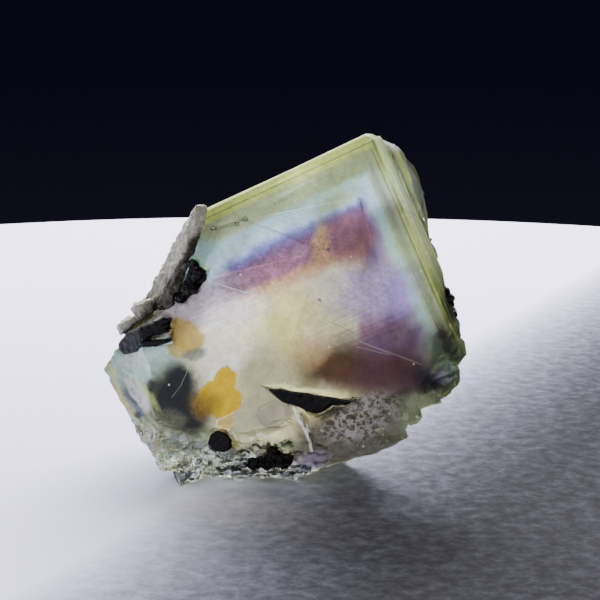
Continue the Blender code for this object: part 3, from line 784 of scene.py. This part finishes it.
    def _zones(self, at: Places) -> Socket:
        """The growth zones, parallel to the upper and the right face and straight at the rim.

        Args:
            at: the crystal's places.

        Returns:
            The colour.
        """
        graph, spot, bent = at.graph, at.spot, at.bent
        left = graph.blend(graph.band(spot[0], *self.rim_left), spot[0], bent[0])
        down = graph.blend(graph.band(spot[2], *self.rim_down), spot[2], bent[2])
        top = self._striped(graph, down, self.top_zones, self.top_zones[-1][0])
        side = self._striped(graph, left, self.side_zones, self.side_zones[-1][0])
        nearer_top = graph.less(graph.times(left, self.corner_slope), down)
        zones = graph.mix(graph.band(nearer_top, -self.mitre, self.mitre), side, top)
        zones = graph.mix(graph.band(bent[0], *self.left_end), zones, Tint.SAGE.linear)
        return graph.mix(graph.band(bent[2], *self.lower_end), zones, Tint.ASH.linear)

    def _patches(self, at: Places, colour: Socket) -> Socket:
        """The colour with each patch laid over it.

        Args:
            at: the crystal's places.
            colour: the colour so far.

        Returns:
            The new colour.
        """
        graph, (left, back, down) = at.graph, at.bent
        shallow = {depth: graph.fall(back, depth, depth * 1.6)
                   for depth in sorted({patch.depth for patch in self.patches})}
        for patch in self.patches:
            mask = at.effects.oval(
                graph, left, down, (patch.left, patch.down), (patch.across, patch.along),
                patch.turn, patch.softness, patch.strength)
            mask = graph.times(mask, shallow[patch.depth])
            colour = graph.mix(mask, colour, patch.tint.linear)
        return colour

    def _pits(self, at: Places, colour: Socket) -> Socket:
        """The colour with the small round marks, ring in ring, some with a painted highlight
        inside.

        Args:
            at: the crystal's places.
            colour: the colour so far.

        Returns:
            The new colour.
        """
        graph = at.graph
        flat = graph.add("CombineXYZ", {0: at.bent[0], 2: at.bent[2]}).outputs[0]
        for places, size, rings in self.pits:
            nearest: Value = 1000.0
            for left, down in places:
                away = graph.vector("DISTANCE", flat, (left, 0.0, down), "Value")
                nearest = graph.math("MINIMUM", nearest, away)
            for share, tint in rings:
                start, end = self.pit_edge
                inside = graph.fall(nearest, start * share * size, end * share * size)
                colour = graph.laid(colour, tint.linear, inside, 0.9)
        return colour

    def _laced(self, at: Places, colour: Socket) -> Socket:
        """The colour with the etched net under the front blade.

        Args:
            at: the crystal's places.
            colour: the colour so far.

        Returns:
            The new colour.
        """
        graph, (left, down, across, along) = at.graph, self.lace_place
        mask = at.effects.oval(graph, at.spot[0], at.spot[2], (left, down), (across, along),
                               softness=0.35)
        lace = graph.group(at.effects.lace, {"Place": at.straight, "Grain": self.lace_grain})
        threads = graph.times(lace.outputs["Threads"], mask)
        holes = graph.times(lace.outputs["Holes"], mask)
        torn = graph.band(graph.noise(at.straight, 0.55, 2.0, 0.7), 0.34, 0.48)
        threads = graph.times(threads, torn)
        for tint, share, strength in ((Tint.LICHEN, mask, 0.5), (Tint.WINE, holes, 0.9),
                                      (Tint.BLUSH, threads, 0.65)):
            colour = graph.laid(colour, tint.linear, share, strength)
        return colour

    def _worn_lumps(self, at: Places, colour: Socket) -> Socket:
        """The colour with the worn lower left corner's lumps, in painted glassy highlight and
        shade.

        Args:
            at: the crystal's places.
            colour: the colour so far.

        Returns:
            The new colour.
        """
        graph, (share, start, end) = at.graph, self.worn
        across = graph.times_add(at.spot[0], share, at.spot[2])
        across = graph.times_add(graph.noise(at.warped, 0.9, 2.0), 1.6, across)
        mask = graph.band(across, start + self.worn_start, end + self.worn_start)
        where = graph.vector("MULTIPLY", at.warped, (1.0, 0.7, 1.3))
        lumps = graph.cells(where, self.lump_grain)
        last = len(self.lump_tints) - 1
        # painted highlight and shade: a bright or dark glassy tone for each lump, and painted shade
        # at its edge
        glassy = graph.ramp(graph.red(lumps.outputs["Color"]), [
            (number / last, tint.linear) for number, tint in enumerate(self.lump_tints)])
        edge = graph.cells(where, self.lump_grain, "DISTANCE_TO_EDGE").outputs["Distance"]
        rim = graph.fall(edge, 0.03, 0.13)
        glassy = graph.laid(glassy, Tint.LICHEN.linear, rim, 0.75)
        return graph.laid(colour, glassy, mask, 0.85)

    def _right_face(self, at: Places, colour: Socket) -> Socket:
        """The colour with the right face's ridges and their painted highlights, darker and speckled
        lower down.

        Args:
            at: the crystal's places.
            colour: the colour so far.

        Returns:
            The new colour.
        """
        graph, (left, depth, down) = at.graph, at.spot
        drawn_out = graph.vector("MULTIPLY", at.straight, (1.0, 1.0, 0.25))
        ragged = graph.times_add(graph.noise(drawn_out, 1.1), 0.7, depth)
        ridged = self._striped(graph, ragged, self.ridges, self.ridge_span)
        speckle = graph.band(graph.noise(at.straight, 2.6, 3.0, 0.7), 0.54, 0.62)
        speckle = graph.times(speckle, graph.band(depth, 3.0, 9.0))
        ridged = graph.mix(speckle, ridged, Tint.LICHEN.linear)
        # painted highlight: the top of the rear block painted white as if lit from above
        pale = graph.times(graph.band(depth, 3.6, 4.6), graph.fall(down, 0.9, 2.1))
        ridged = graph.mix(pale, ridged, Tint.GLINT.linear)
        ridged = graph.laid(ridged, Tint.SLATE.linear, graph.band(down, 10.5, 16.0), 0.75)
        return graph.mix(graph.fall(left, *self.right_skin), colour, ridged)

    def _mottled(self, at: Places, colour: Socket) -> tuple[Socket, Socket]:
        """The colour with fine unevenness, clotted and combed in places, and painted glint dots.

        Args:
            at: the crystal's places.
            colour: the colour so far.

        Returns:
            The new colour, and the fine grain.
        """
        graph, straight = at.graph, at.straight
        cloud = graph.noise(straight, 1.1, 3.0, 0.66)
        grain = graph.noise(straight, 6.0, 2.0, 0.6)
        level = graph.remap(cloud, 0.3, 0.7, 0.82, 1.2)
        shade = graph.times(level, graph.remap(grain, 0.3, 0.7, 0.90, 1.08))
        clots = graph.remap(graph.noise(straight, 2.3, 3.0, 0.74), 0.36, 0.62, 0.0, 1.5)
        for left, down, across, along, strength in self.grainy:
            mask = at.effects.oval(graph, at.spot[0], at.spot[2], (left, down), (across, along),
                                   softness=0.4)
            clotted = graph.times_add(clots, strength, 1.0 - strength)
            shade = graph.times(shade, graph.blend(mask, 1.0, clotted))
        for left, down, across, along, angle in self.combed:
            mask = at.effects.oval(graph, at.spot[0], at.spot[2], (left, down), (across, along))
            turned = graph.add("Mapping", {
                "Vector": straight, "Rotation": (0.0, math.radians(angle), 0.0),
                "Scale": (0.25, 0.1, 4.5)}).outputs[0]
            lines = graph.remap(graph.noise(turned, 1.0, 2.0, 0.6), 0.35, 0.65, 0.82, 1.2)
            shade = graph.times(shade, graph.blend(mask, 1.0, lines))
        grey = graph.add("CombineColor", {0: shade, 1: shade, 2: shade}).outputs[0]
        colour = graph.mix(1.0, colour, grey, "MULTIPLY")
        # painted highlight: small white sparkles scattered over the crystal
        dots = graph.cells(straight, 0.8)
        near = graph.fall(dots.outputs["Distance"], 0.04, 0.1)
        painted_glints = graph.times(near, graph.band(graph.red(dots.outputs["Color"]), 0.6, 0.7))
        return graph.laid(colour, Tint.GLINT.linear, painted_glints, 0.7), grain

    def _hairlines(self, at: Places, colour: Socket) -> Socket:
        """The colour with each fine line drawn over it.

        Args:
            at: the crystal's places.
            colour: the colour so far.

        Returns:
            The new colour.
        """
        graph = at.graph
        swayed = graph.add("Mix", {0: self.sway, 4: at.straight, 5: at.warped},
                           data_type="VECTOR").outputs[1]
        swayed = graph.vector("MULTIPLY", swayed, (1.0, self.line_depth, 1.0))
        for line in self.hairlines:
            total: Optional[Socket] = None
            places = [Vector((left, 0.0, down)) for left, down in line.places]
            for start, end in zip(places, places[1:]):
                span = end - start
                mask = graph.group(at.effects.stroke, {
                    "Place": swayed, "Start": start, "Span": span,
                    "Along": span / span.length_squared, "Inner": line.width * 0.4,
                    "Outer": line.width}).outputs[0]
                total = mask if total is None else graph.math("MAXIMUM", total, mask)
            colour = graph.laid(colour, line.tint.linear, total, line.strength)
        return colour

    def _scratched(self, at: Places, colour: Socket) -> Socket:
        """The colour with the polished faces' fine scratches.

        Args:
            at: the crystal's places.
            colour: the colour so far.

        Returns:
            The new colour.
        """
        graph = at.graph
        scratches = graph.group(at.effects.fine_scratches, {"Place": at.straight}).outputs[0]
        polished = graph.math("SUBTRACT", 1.0, at.broken, clamp=True)
        mask = graph.times(scratches, polished)
        return graph.laid(colour, Tint.FROST.linear, mask, self.scratched)

    def _paler_back(self, at: Places, colour: Socket) -> Socket:
        """The colour, faded on the breaks deep in the crystal.

        Args:
            at: the crystal's places.
            colour: the colour so far.

        Returns:
            The new colour.
        """
        graph = at.graph
        deep = graph.band(at.spot[1], *self.pale_depth)
        paler = graph.times(deep, graph.times(at.broken, self.pale_back))
        paler = graph.times(paler, graph.band(at.spot[0], *self.pale_left))
        return graph.mix(paler, colour, Tint.FROST.linear)


@dataclass(frozen=True)
class RockFinish:
    """Crumbly grey-brown rock: pale along its outer edge, sooty inside, and darker behind the front
    face.
    """

    pale: Shade = (228, 226, 204)
    middle: Shade = (138, 131, 106)
    dark: Shade = (26, 22, 14)
    olive: Shade = (52, 48, 20)
    fine: float = 3.2                       # crumbs for each mm
    coarse: float = 1.1
    fibre_angle: float = 28.0               # the fibres' slope in degrees
    fibre_stretch: Triple = (0.5, 1.0, 2.6)
    # olive knobs: (left, down) and (across, along), in mm
    knobs: tuple[tuple[Span, Span], ...] = (
        ((18.6, 2.5), (0.9, 0.6)), ((24.2, 5.6), (1.2, 0.5)), ((21.6, 5.2), (1.0, 0.6)),
        ((27.0, 7.0), (1.6, 0.5)))
    outer_slope: float = 0.533              # how fast the crust's outer edge falls to the left
    outer_start: float = 15.0
    behind: Span = (1.5, 5.0)               # where it darkens behind the front face, in mm
    roughness: float = 0.8
    relief: float = 0.24 * MM

    def build(self, effects: Effects) -> bpy.types.Material:
        """The rock's material.

        Args:
            effects: the shared node groups.

        Returns:
            The material.
        """
        pale, middle, dark = srgb(*self.pale), srgb(*self.middle), srgb(*self.dark)
        material, graph, shader = new_material("granular_rock")
        straight = effects.places(graph).outputs["Straight"]
        grains = graph.group(effects.granular, {"Place": straight, "Grain": self.fine})
        coarse = graph.group(effects.granular, {"Place": straight, "Grain": self.coarse})
        along = graph.add("Mapping", {
            "Vector": straight, "Rotation": (0.0, math.radians(self.fibre_angle), 0.0),
            "Scale": self.fibre_stretch}).outputs[0]
        fibres = graph.noise(along, 1.0, 5.0, 0.7, 0.6)
        shade = graph.times_add(grains.outputs["Speckle"], 0.30,
                                graph.times_add(fibres, 1.7, -0.60))
        shade = graph.times_add(coarse.outputs["Speckle"], 0.34, shade)
        colour = graph.ramp(shade, [(0.30, dark), (0.44, middle), (0.60, middle), (0.80, pale)])
        left, depth, down = graph.parts(straight)
        edge = graph.times(graph.less(left, self.outer_start), self.outer_slope)
        inward = graph.less(graph.less(down, edge), 0.8)
        inward = graph.times_add(fibres, 1.6, inward)
        deep = graph.band(depth, *self.behind)
        outer = graph.fall(inward, -0.5, 0.7)
        outer = graph.times(outer, graph.less(1.0, deep))
        colour = graph.laid(colour, pale, outer, 0.7)
        sooty = graph.times(graph.band(coarse.outputs["Cloud"], 0.36, 0.48),
                            graph.band(inward, -0.1, 0.6))
        colour = graph.laid(colour, dark, sooty, 0.85)
        colour = graph.laid(colour, dark, deep, 0.75)
        for place, size in self.knobs:
            knob = effects.oval(graph, left, down, place, size, softness=0.4)
            colour = graph.laid(colour, srgb(*self.olive), knob, 0.85)
        graph.feed_all(shader, {
            "Base Color": colour,
            "Roughness": graph.times_add(grains.outputs["Speckle"], -0.25, self.roughness)})
        height = graph.times_add(fibres, 2.0, grains.outputs["Height"])
        graph.bump(shader, height, 1.0, self.relief)
        return material


@dataclass(frozen=True)
class TourmalineFinish:
    """Black tourmaline: striated along its length, bright on its small facets."""

    name: str = "striated_tourmaline"
    black: Shade = (3, 3, 5)
    brown: Shade = (20, 17, 14)
    facets: float = 2.2                     # facets for each millimetre
    striation: Triple = (0.5, 3.0, 9.0)     # lines for each millimetre, on each axis
    ior: float = 1.64
    gloss: float = 0.14                     # 0.5 is the full reflection
    roughness: float = 0.16
    relief: float = 0.08 * MM

    def build(self, effects: Effects) -> bpy.types.Material:
        """The tourmaline's material.

        Args:
            effects: the shared node groups.

        Returns:
            The material.
        """
        material, graph, shader = new_material(self.name)
        straight = effects.places(graph).outputs["Straight"]
        grains = graph.group(effects.granular, {"Place": straight, "Grain": self.facets})
        lines = graph.noise(graph.vector("MULTIPLY", straight, self.striation), 1.0)
        browned = graph.band(grains.outputs["Cloud"], 0.5, 0.75)
        graph.feed_all(shader, {
            "Base Color": graph.mix(browned, srgb(*self.black), srgb(*self.brown)),
            "IOR": self.ior, "Specular IOR Level": self.gloss,
            "Roughness": graph.times_add(grains.outputs["Speckle"], 0.25, self.roughness)})
        height = graph.times_add(lines, 0.8, grains.outputs["Height"])
        graph.bump(shader, height, 0.7, self.relief)
        return material


# ------------------------------------------------------------------ meshes

BLACKS = ("tourmaline_front_blade", "tourmaline_lower_stub", "tourmaline_left_spray",
          "tourmaline_rim_cluster", "tourmaline_lower_seam", "tourmaline_right_knob")
POCKET_REACH = 0.42 * MM                    # the solids stand 0.3 mm apart
POCKET_LEFT = 0.04 * MM
JOINED = 1e-7                               # vertices this near are one, in metres


def merged_copy(node: str) -> bmesh.types.BMesh:
    """A bmesh copy of a CAD node with its loose triangles joined.

    Args:
        node: the node's name.

    Returns:
        The copy.
    """
    bm = bmesh.new()
    bm.from_mesh(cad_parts[node].data)
    bmesh.ops.remove_doubles(bm, verts=bm.verts, dist=JOINED)
    bmesh.ops.dissolve_degenerate(bm, dist=JOINED, edges=bm.edges)
    bm.normal_update()
    return bm


def as_piece(name: str, bm: bmesh.types.BMesh, material: bpy.types.Material,
             nodes: Sequence[str] = ()) -> bpy.types.Object:
    """Makes a bmesh a piece that rides on the specimen.

    Args:
        name: the piece's name.
        bm: its mesh, in world metres; it is freed.
        material: its material.
        nodes: the CAD nodes it stands for.

    Returns:
        The piece.
    """
    mesh = bpy.data.meshes.new(name)
    bm.to_mesh(mesh)
    bm.free()
    mesh.materials.append(material)
    piece = bpy.data.objects.new(name, mesh)
    bpy.context.scene.collection.objects.link(piece)
    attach(piece, "root")
    if nodes:
        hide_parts(*nodes)
    triangles = sum(len(face.vertices) - 2 for face in mesh.polygons)
    log.info("%s: %d triangles", name, triangles)
    return piece


def layered(where: Vector, grain: float, seed: float) -> float:
    """Layered noise of about -1 to 1 at a world place."""
    return noise.fractal(where / grain + Vector((3.1, 7.7, 5.3)) * seed, 0.9, 2.1, 4)


def nearest_cell(where: Vector, size: float) -> float:
    """How far a world place is from its cell's middle, in cells."""
    return noise.voronoi(where / size)[0][0]


def make_triangles(bm: bmesh.types.BMesh, quad_method: str = "BEAUTY") -> None:
    """Parts every larger face into triangles."""
    bmesh.ops.triangulate(bm, faces=[face for face in bm.faces if len(face.verts) > 3],
                          quad_method=quad_method, ngon_method="BEAUTY")


def cut_long_edges(bm: bmesh.types.BMesh, chosen: Callable[[bmesh.types.BMFace], bool],
                   limit: float, rounds: int = 6) -> None:
    """Halves the chosen faces' edges until none is longer than a limit, keeping triangles.

    Args:
        bm: the mesh.
        chosen: says whether a face's edges are cut.
        limit: the longest edge that stays, in metres.
        rounds: how often every long edge is halved at most.
    """
    for _ in range(rounds):
        edges = {edge for face in bm.faces if chosen(face) for edge in face.edges
                 if edge.calc_length() > limit}
        if not edges:
            return
        bmesh.ops.subdivide_edges(bm, edges=list(edges), cuts=1, use_grid_fill=False)
        make_triangles(bm, "SHORT_EDGE")


def displace(bm: bmesh.types.BMesh, amount: Callable[[bmesh.types.BMVert], float]) -> None:
    """Moves every vertex along its normal by its own amount.

    Args:
        bm: the mesh.
        amount: gives a vertex's move in metres.
    """
    bm.normal_update()
    moves = [(vert, vert.normal * amount(vert)) for vert in bm.verts]
    for vert, move in moves:
        vert.co += move
    bm.normal_update()


def shade_by_angle(bm: bmesh.types.BMesh, degrees: float) -> None:
    """Smooth faces, with edges sharp past an angle.

    Args:
        bm: the mesh.
        degrees: the angle.
    """
    limit = math.radians(degrees)
    for face in bm.faces:
        face.smooth = True
    for edge in bm.edges:
        edge.smooth = len(edge.link_faces) == 2 and edge.calc_face_angle(0.0) < limit


def close_up(bm: bmesh.types.BMesh, neighbours: Sequence[str],
             plane: Callable[[bmesh.types.BMFace], bool] = lambda face: False) -> None:
    """Moves the walls that face a neighbour up to it, so that the two look grown together.

    Args:
        bm: the mesh whose walls move.
        neighbours: the CAD nodes it closes on.
        plane: says whether a face stays in its own plane.
    """
    for node in neighbours:
        other = merged_copy(node)
        tree = BVHTree.FromBMesh(other)
        other.free()
        for vert in bm.verts:
            nearest, _, _, distance = tree.find_nearest(vert.co, POCKET_REACH)
            if nearest is None or distance <= POCKET_LEFT:
                continue
            move = (nearest - vert.co) * (1.0 - POCKET_LEFT / distance)
            for face in vert.link_faces:
                if plane(face):
                    move -= face.normal * move.dot(face.normal)
            vert.co += move


@dataclass
class FluoriteCrystal:
    """The zoned crystal, with polished growth faces and crumbly breaks."""

    finish: FluoriteFinish = field(default_factory=FluoriteFinish)
    edge_limit: float = 0.38 * MM           # the longest edge on a broken face
    growth_reach: float = 0.95              # how far under a growth face its bevel lies, in mm
    sheet_angle: float = 0.005              # faces within this angle are one sheet, in radians
    facing: float = 0.62                    # how squarely a growth face looks along its axis
    foot: float = 0.02 * MM                 # what lies lower stays flat
    relief: float = 0.15 * MM
    relief_grain: float = 1.3 * MM
    cleavage_step: float = 0.8 * MM
    cleavage_rise: float = 0.09 * MM
    cleavage_sway: float = 0.4 * MM         # how far the steps wander,
    cleavage_bend: float = 3.0 * MM         # and over what length
    lump: float = 1.0 * MM
    lump_rise: float = 0.34 * MM
    worn_sway: float = 0.8                  # how far the worn corner's edge wanders, in mm,
    worn_bend: float = 2.2 * MM             # and over what length
    worn_clarity: float = 0.6               # how much less broken the worn corner looks
    sharp_angle: float = 34.0

    def build(self, effects: Effects) -> bpy.types.Object:
        """Makes the crystal from its solid.

        Args:
            effects: the shared node groups.

        Returns:
            The piece.
        """
        bm = merged_copy("fluorite_crystal")
        grown = bm.faces.layers.int.new("grown")
        self._mark_growth(bm, grown)
        sheets = [edge for edge in bm.edges if all(face[grown] == 1 for face in edge.link_faces)]
        bmesh.ops.dissolve_limit(bm, angle_limit=self.sheet_angle, verts=[], edges=sheets)
        close_up(bm, BLACKS, lambda face: face[grown] == 1)
        make_triangles(bm)
        cut_long_edges(bm, lambda face: any(self._worn(vert.co) > 0.0 for vert in face.verts),
                       self.edge_limit)
        self._mark_growth(bm, grown, self._worn)
        cut_long_edges(bm, lambda face: face[grown] == 0, self.edge_limit)
        pinned = {vert for vert in bm.verts if any(face[grown] == 1 for face in vert.link_faces)}
        broken = bm.verts.layers.float.new("broken")
        for vert in bm.verts:
            clear = self.worn_clarity * self._worn(vert.co)
            vert[broken] = 0.0 if vert in pinned else 1.0 - clear
        displace(bm, lambda vert: 0.0 if vert in pinned or vert.co.z < self.foot
                 else self._roughness(vert.co))
        shade_by_angle(bm, self.sharp_angle)
        for edge in bm.edges:
            if any(face[grown] == 1 for face in edge.link_faces):
                edge.smooth = False
        material = self.finish.build(effects)
        return as_piece("zoned_crystal", bm, material, ["fluorite_crystal"])

    def _mark_growth(self, bm: bmesh.types.BMesh, grown: bmesh.types.BMLayerItem,
                     worn: Callable[[Vector], float] = lambda where: 0.0) -> None:
        """Marks the faces the crystal grew and kept, as against those it broke or wore on.

        Args:
            bm: the mesh.
            grown: the face layer that takes the mark.
            worn: gives how worn a place is.
        """
        turn = GROWTH.turn()
        axes = [turn @ Vector(axis) for axis in ((1, 0, 0), (0, -1, 0), (0, 0, 1))]
        for face in bm.faces:
            middle = face.calc_center_median()
            spot = GROWTH.to_local(middle)
            flat = any(face.normal.dot(axis) > self.facing and spot[index] < self.growth_reach
                       for index, axis in enumerate(axes))
            face[grown] = int(flat and worn(middle) == 0.0)

    def _worn(self, where: Vector) -> float:
        """How deep a place lies in the worn lower left corner.

        Args:
            where: the place in the world.

        Returns:
            0 outside it, rising to 1 inside.
        """
        spot = GROWTH.to_local(where)
        share, start, end = self.finish.worn
        across = share * spot.x + spot.z + self.worn_sway * layered(where, self.worn_bend, 4.0)
        return min(max((across - start) / (end - start), 0.0), 1.0)

    def _roughness(self, where: Vector) -> float:
        """How far a broken face stands out at a place.

        Args:
            where: the place in the world.

        Returns:
            The distance in metres.
        """
        soft = self.relief * layered(where, self.relief_grain, 1.0)
        lean = GROWTH.turn() @ Vector((1, -1, 1)).normalized()
        swayed = where.dot(lean) + self.cleavage_sway * layered(where, self.cleavage_bend, 2.0)
        step = 2 * (swayed / self.cleavage_step % 1.0) - 1
        domes = self.lump_rise * (0.42 - nearest_cell(where, self.lump))
        return soft + self.cleavage_rise * step + self._worn(where) * domes


@dataclass
class MatrixRind:
    """The rock crust on the crystal's upper left."""

    finish: RockFinish = field(default_factory=RockFinish)
    edge_limit: float = 0.26 * MM
    crumb: float = 0.75 * MM
    relief: float = 0.3 * MM
    grit: float = 0.15 * MM
    grit_grain: float = 0.35 * MM
    sharp_angle: float = 50.0

    def build(self, effects: Effects) -> bpy.types.Object:
        """Makes the crust from its solid.

        Args:
            effects: the shared node groups.

        Returns:
            The piece.
        """
        bm = merged_copy("matrix_rind")
        cut_long_edges(bm, lambda face: True, self.edge_limit)
        displace(bm, lambda vert: self._crumbs(vert.co))
        close_up(bm, ["fluorite_crystal"])
        shade_by_angle(bm, self.sharp_angle)
        return as_piece("rock_crust", bm, self.finish.build(effects), ["matrix_rind"])

    def _crumbs(self, where: Vector) -> float:
        """Rounded crumbs with pits between them, as a distance in metres."""
        rounded = self.relief * (0.45 - nearest_cell(where, self.crumb))
        return rounded + self.grit * layered(where, self.grit_grain, 3.0)


@dataclass
class TourmalinePiece:
    """One black tourmaline, refined from its solid."""

    node: str
    name: str
    finish: TourmalineFinish
    edge_limit: float = 0.22 * MM
    facet: float = 0.5 * MM
    relief: float = 0.07 * MM
    grit: float = 0.35                      # the fine grain's share of the relief
    grit_grain: float = 0.25 * MM
    sharp_angle: float = 28.0

    def build(self, effects: Effects) -> bpy.types.Object:
        """Makes the piece from its solid.

        Args:
            effects: the shared node groups.

        Returns:
            The piece.
        """
        bm = merged_copy(self.node)
        cut_long_edges(bm, lambda face: True, self.edge_limit)
        displace(bm, lambda vert: self._facets(vert.co))
        shade_by_angle(bm, self.sharp_angle)
        return as_piece(self.name, bm, self.finish.build(effects), [self.node])

    def _facets(self, where: Vector) -> float:
        """Small facets with a fine grain on them, as a distance in metres."""
        fine = self.grit * self.relief * layered(where, self.grit_grain, 5.0)
        return self.relief * (0.5 - nearest_cell(where, self.facet)) + fine


# ------------------------------------------------------------------ the studio

@dataclass(frozen=True)
class SoftLight:
    """A soft rectangular light that looks at the specimen."""

    name: str
    place: Triple
    size: Span
    power: float
    colour: Colour = (1.0, 1.0, 1.0)
    target: Triple = (0.0, 0.0, 0.012)

    def build(self) -> None:
        """Adds the light."""
        light = bpy.data.lights.new(self.name, "AREA")
        light.shape = "RECTANGLE"
        light.size, light.size_y = self.size
        light.energy = self.power
        light.color = self.colour
        lamp = bpy.data.objects.new(self.name, light)
        lamp.location = self.place
        aim = Vector(self.target) - Vector(self.place)
        lamp.rotation_euler = aim.to_track_quat("-Z", "Y").to_euler()
        bpy.context.scene.collection.objects.link(lamp)


@dataclass(frozen=True)
class Studio:
    """A pale round floor with a painted shadow, soft lights and the camera."""

    floor_radius: float = 0.145
    floor_depth: float = 0.004
    floor_shade: Shade = (232, 230, 255)
    # painted shadow on the floor: its tenfold falls for each metre in x and in y, and at its middle
    floor_painted_shadow: Triple = (56.0, -28.0, 0.2)
    deepest_painted_shadow: float = 1.6
    floor_grain: float = 700.0              # mottles for each metre
    # (height from 0 below to 1 overhead, colour) of the world
    world_stops: tuple[tuple[float, Colour], ...] = (
        (0.0, (0.05, 0.05, 0.055)), (0.46, (0.005, 0.004, 0.013)),
        (0.56, (0.005, 0.004, 0.013)), (0.70, (0.34, 0.34, 0.37)), (1.0, (0.80, 0.80, 0.85)))
    world_strength: float = 0.8
    camera_distance: float = 0.170
    camera_elevation: float = 12.0
    camera_target: Triple = (0.0, 0.0, 0.0155)
    sensor: float = 36.0                    # the camera's film width, in its own mm
    metres_per_pixel: float = 0.0922 * MM
    corner_pixel: Span = (371.5, 131.5)     # where the crystal's upper corner falls
    lights: tuple[SoftLight, ...] = (
        SoftLight("back_light", (0.02, 0.16, 0.18), (0.28, 0.10), 2.2, (0.94, 0.94, 1.0),
                  (0.0, 0.03, 0.0)),
        SoftLight("left_light", (-0.18, 0.10, 0.10), (0.12, 0.12), 0.25, (0.98, 0.97, 1.0)),
        SoftLight("top_light", (0.02, 0.08, 0.28), (0.16, 0.16), 0.12),
        SoftLight("front_fill", (-0.14, -0.30, 0.16), (0.16, 0.16), 0.22, (1.0, 0.98, 0.95)),
    )

    def build(self) -> None:
        """Adds the floor, the world, the lights and the camera."""
        self._floor()
        self._world()
        for light in self.lights:
            light.build()
        self._camera()

    def _floor(self) -> None:
        """A round pale slab with a rolled edge, its top at z = 0."""
        bm = bmesh.new()
        bmesh.ops.create_cone(bm, cap_ends=True, segments=128, radius1=self.floor_radius,
                              radius2=self.floor_radius, depth=self.floor_depth)
        bmesh.ops.translate(bm, vec=(0, 0, -self.floor_depth / 2), verts=bm.verts)
        rim = [edge for edge in bm.edges
               if all(vert.co.z > -self.floor_depth / 4 for vert in edge.verts)]
        bmesh.ops.bevel(bm, geom=rim, affect="EDGES", offset=self.floor_depth * 0.45, segments=4,
                        profile=0.5, material=-1)
        for face in bm.faces:
            face.smooth = len(face.verts) == 4
        mesh = bpy.data.meshes.new("floor")
        bm.to_mesh(mesh)
        bm.free()
        mesh.materials.append(self._floor_finish())
        floor = bpy.data.objects.new("floor", mesh)
        bpy.context.scene.collection.objects.link(floor)

    def _floor_finish(self) -> bpy.types.Material:
        """Pale matt board with a painted shadow towards the front right, more mottled in the
        shadow.

        Returns:
            The material.
        """
        material, graph, shader = new_material("pale_board")
        place = graph.add("TexCoord").outputs["Object"]
        tone = graph.noise(place, self.floor_grain, 4.0, 0.7)
        x_share, y_share, start = self.floor_painted_shadow
        across, back, _ = graph.parts(place)
        # painted shadow: how deep the shadow painted on the floor lies, deepest towards the front
        # right
        fall = graph.times_add(across, x_share, graph.times_add(back, y_share, start))
        fall = graph.math("MINIMUM", graph.math("MAXIMUM", fall, 0.0), self.deepest_painted_shadow)
        mottle = graph.times(graph.less(tone, 0.5), graph.times_add(fall, 1.2, 0.1))
        fall = graph.math("MAXIMUM", graph.math("ADD", fall, mottle), 0.0)
        shade = graph.math("POWER", 0.1, fall)
        colour = graph.mix(shade, (0.0, 0.0, 0.0), srgb(*self.floor_shade))
        graph.feed_all(shader, {
            "Base Color": colour, "Roughness": 0.8, "Specular IOR Level": 0.1})
        return material

    def _world(self) -> None:
        """Dark round the horizon, softly bright overhead."""
        world = bpy.data.worlds.new("studio")
        bpy.context.scene.world = world
        world.use_nodes = True
        graph = Graph(world.node_tree)
        direction = graph.add("TexCoord").outputs["Generated"]
        height = graph.parts(direction)[2]
        colour = graph.ramp(graph.times_add(height, 0.5, 0.5), self.world_stops)
        graph.feed_all(world.node_tree.nodes["Background"], {
            "Color": colour, "Strength": self.world_strength})

    def _camera(self) -> None:
        """The camera, shifted so that the crystal's corner falls on its pixel."""
        camera = bpy.data.cameras.new("camera")
        stand = bpy.data.objects.new("camera", camera)
        bpy.context.scene.collection.objects.link(stand)
        tilt = math.radians(self.camera_elevation)
        back = Vector((0.0, -math.cos(tilt), math.sin(tilt)))
        stand.location = Vector(self.camera_target) + back * self.camera_distance
        stand.rotation_euler = (-back).to_track_quat("-Z", "Y").to_euler()
        camera.sensor_width = self.sensor
        width = RENDER_PIXELS * self.metres_per_pixel
        camera.lens = camera.sensor_width * self.camera_distance / width
        camera.clip_start = MM
        scene = bpy.context.scene
        scene.camera = stand
        bpy.context.view_layer.update()
        tall = scene.render.resolution_x / scene.render.resolution_y
        spot = world_to_camera_view(scene, stand, Vector(GROWTH.corner) * MM)
        across = spot.x * RENDER_PIXELS
        down = RENDER_PIXELS / 2 - (spot.y - 0.5) * RENDER_PIXELS / tall
        camera.shift_x = (across - self.corner_pixel[0]) / RENDER_PIXELS
        camera.shift_y = -(down - self.corner_pixel[1]) / RENDER_PIXELS


def main() -> None:
    """Builds every piece in order, then the studio."""
    logging.basicConfig(level=logging.INFO, format="%(name)s: %(message)s")
    effects = Effects()
    Studio().build()
    FluoriteCrystal().build(effects)
    MatrixRind().build(effects)
    slender = TourmalineFinish()
    granular = TourmalineFinish("granular_tourmaline", brown=(58, 50, 38), facets=4.0)
    for node, name, finish, facet, relief in (
        ("tourmaline_front_blade", "front_blade", slender, 0.5, 0.06),
        ("tourmaline_lower_stub", "lower_stub", slender, 0.5, 0.06),
        ("tourmaline_left_spray", "left_spray", slender, 0.4, 0.07),
        ("tourmaline_rim_cluster", "rim_cluster", granular, 0.62, 0.42),
        ("tourmaline_lower_seam", "lower_seam", granular, 0.62, 0.42),
        ("tourmaline_right_knob", "right_knob", granular, 0.55, 0.3),
    ):
        TourmalinePiece(node, name, finish, facet=facet * MM, relief=relief * MM).build(effects)


if __name__ == "__main__":
    main()
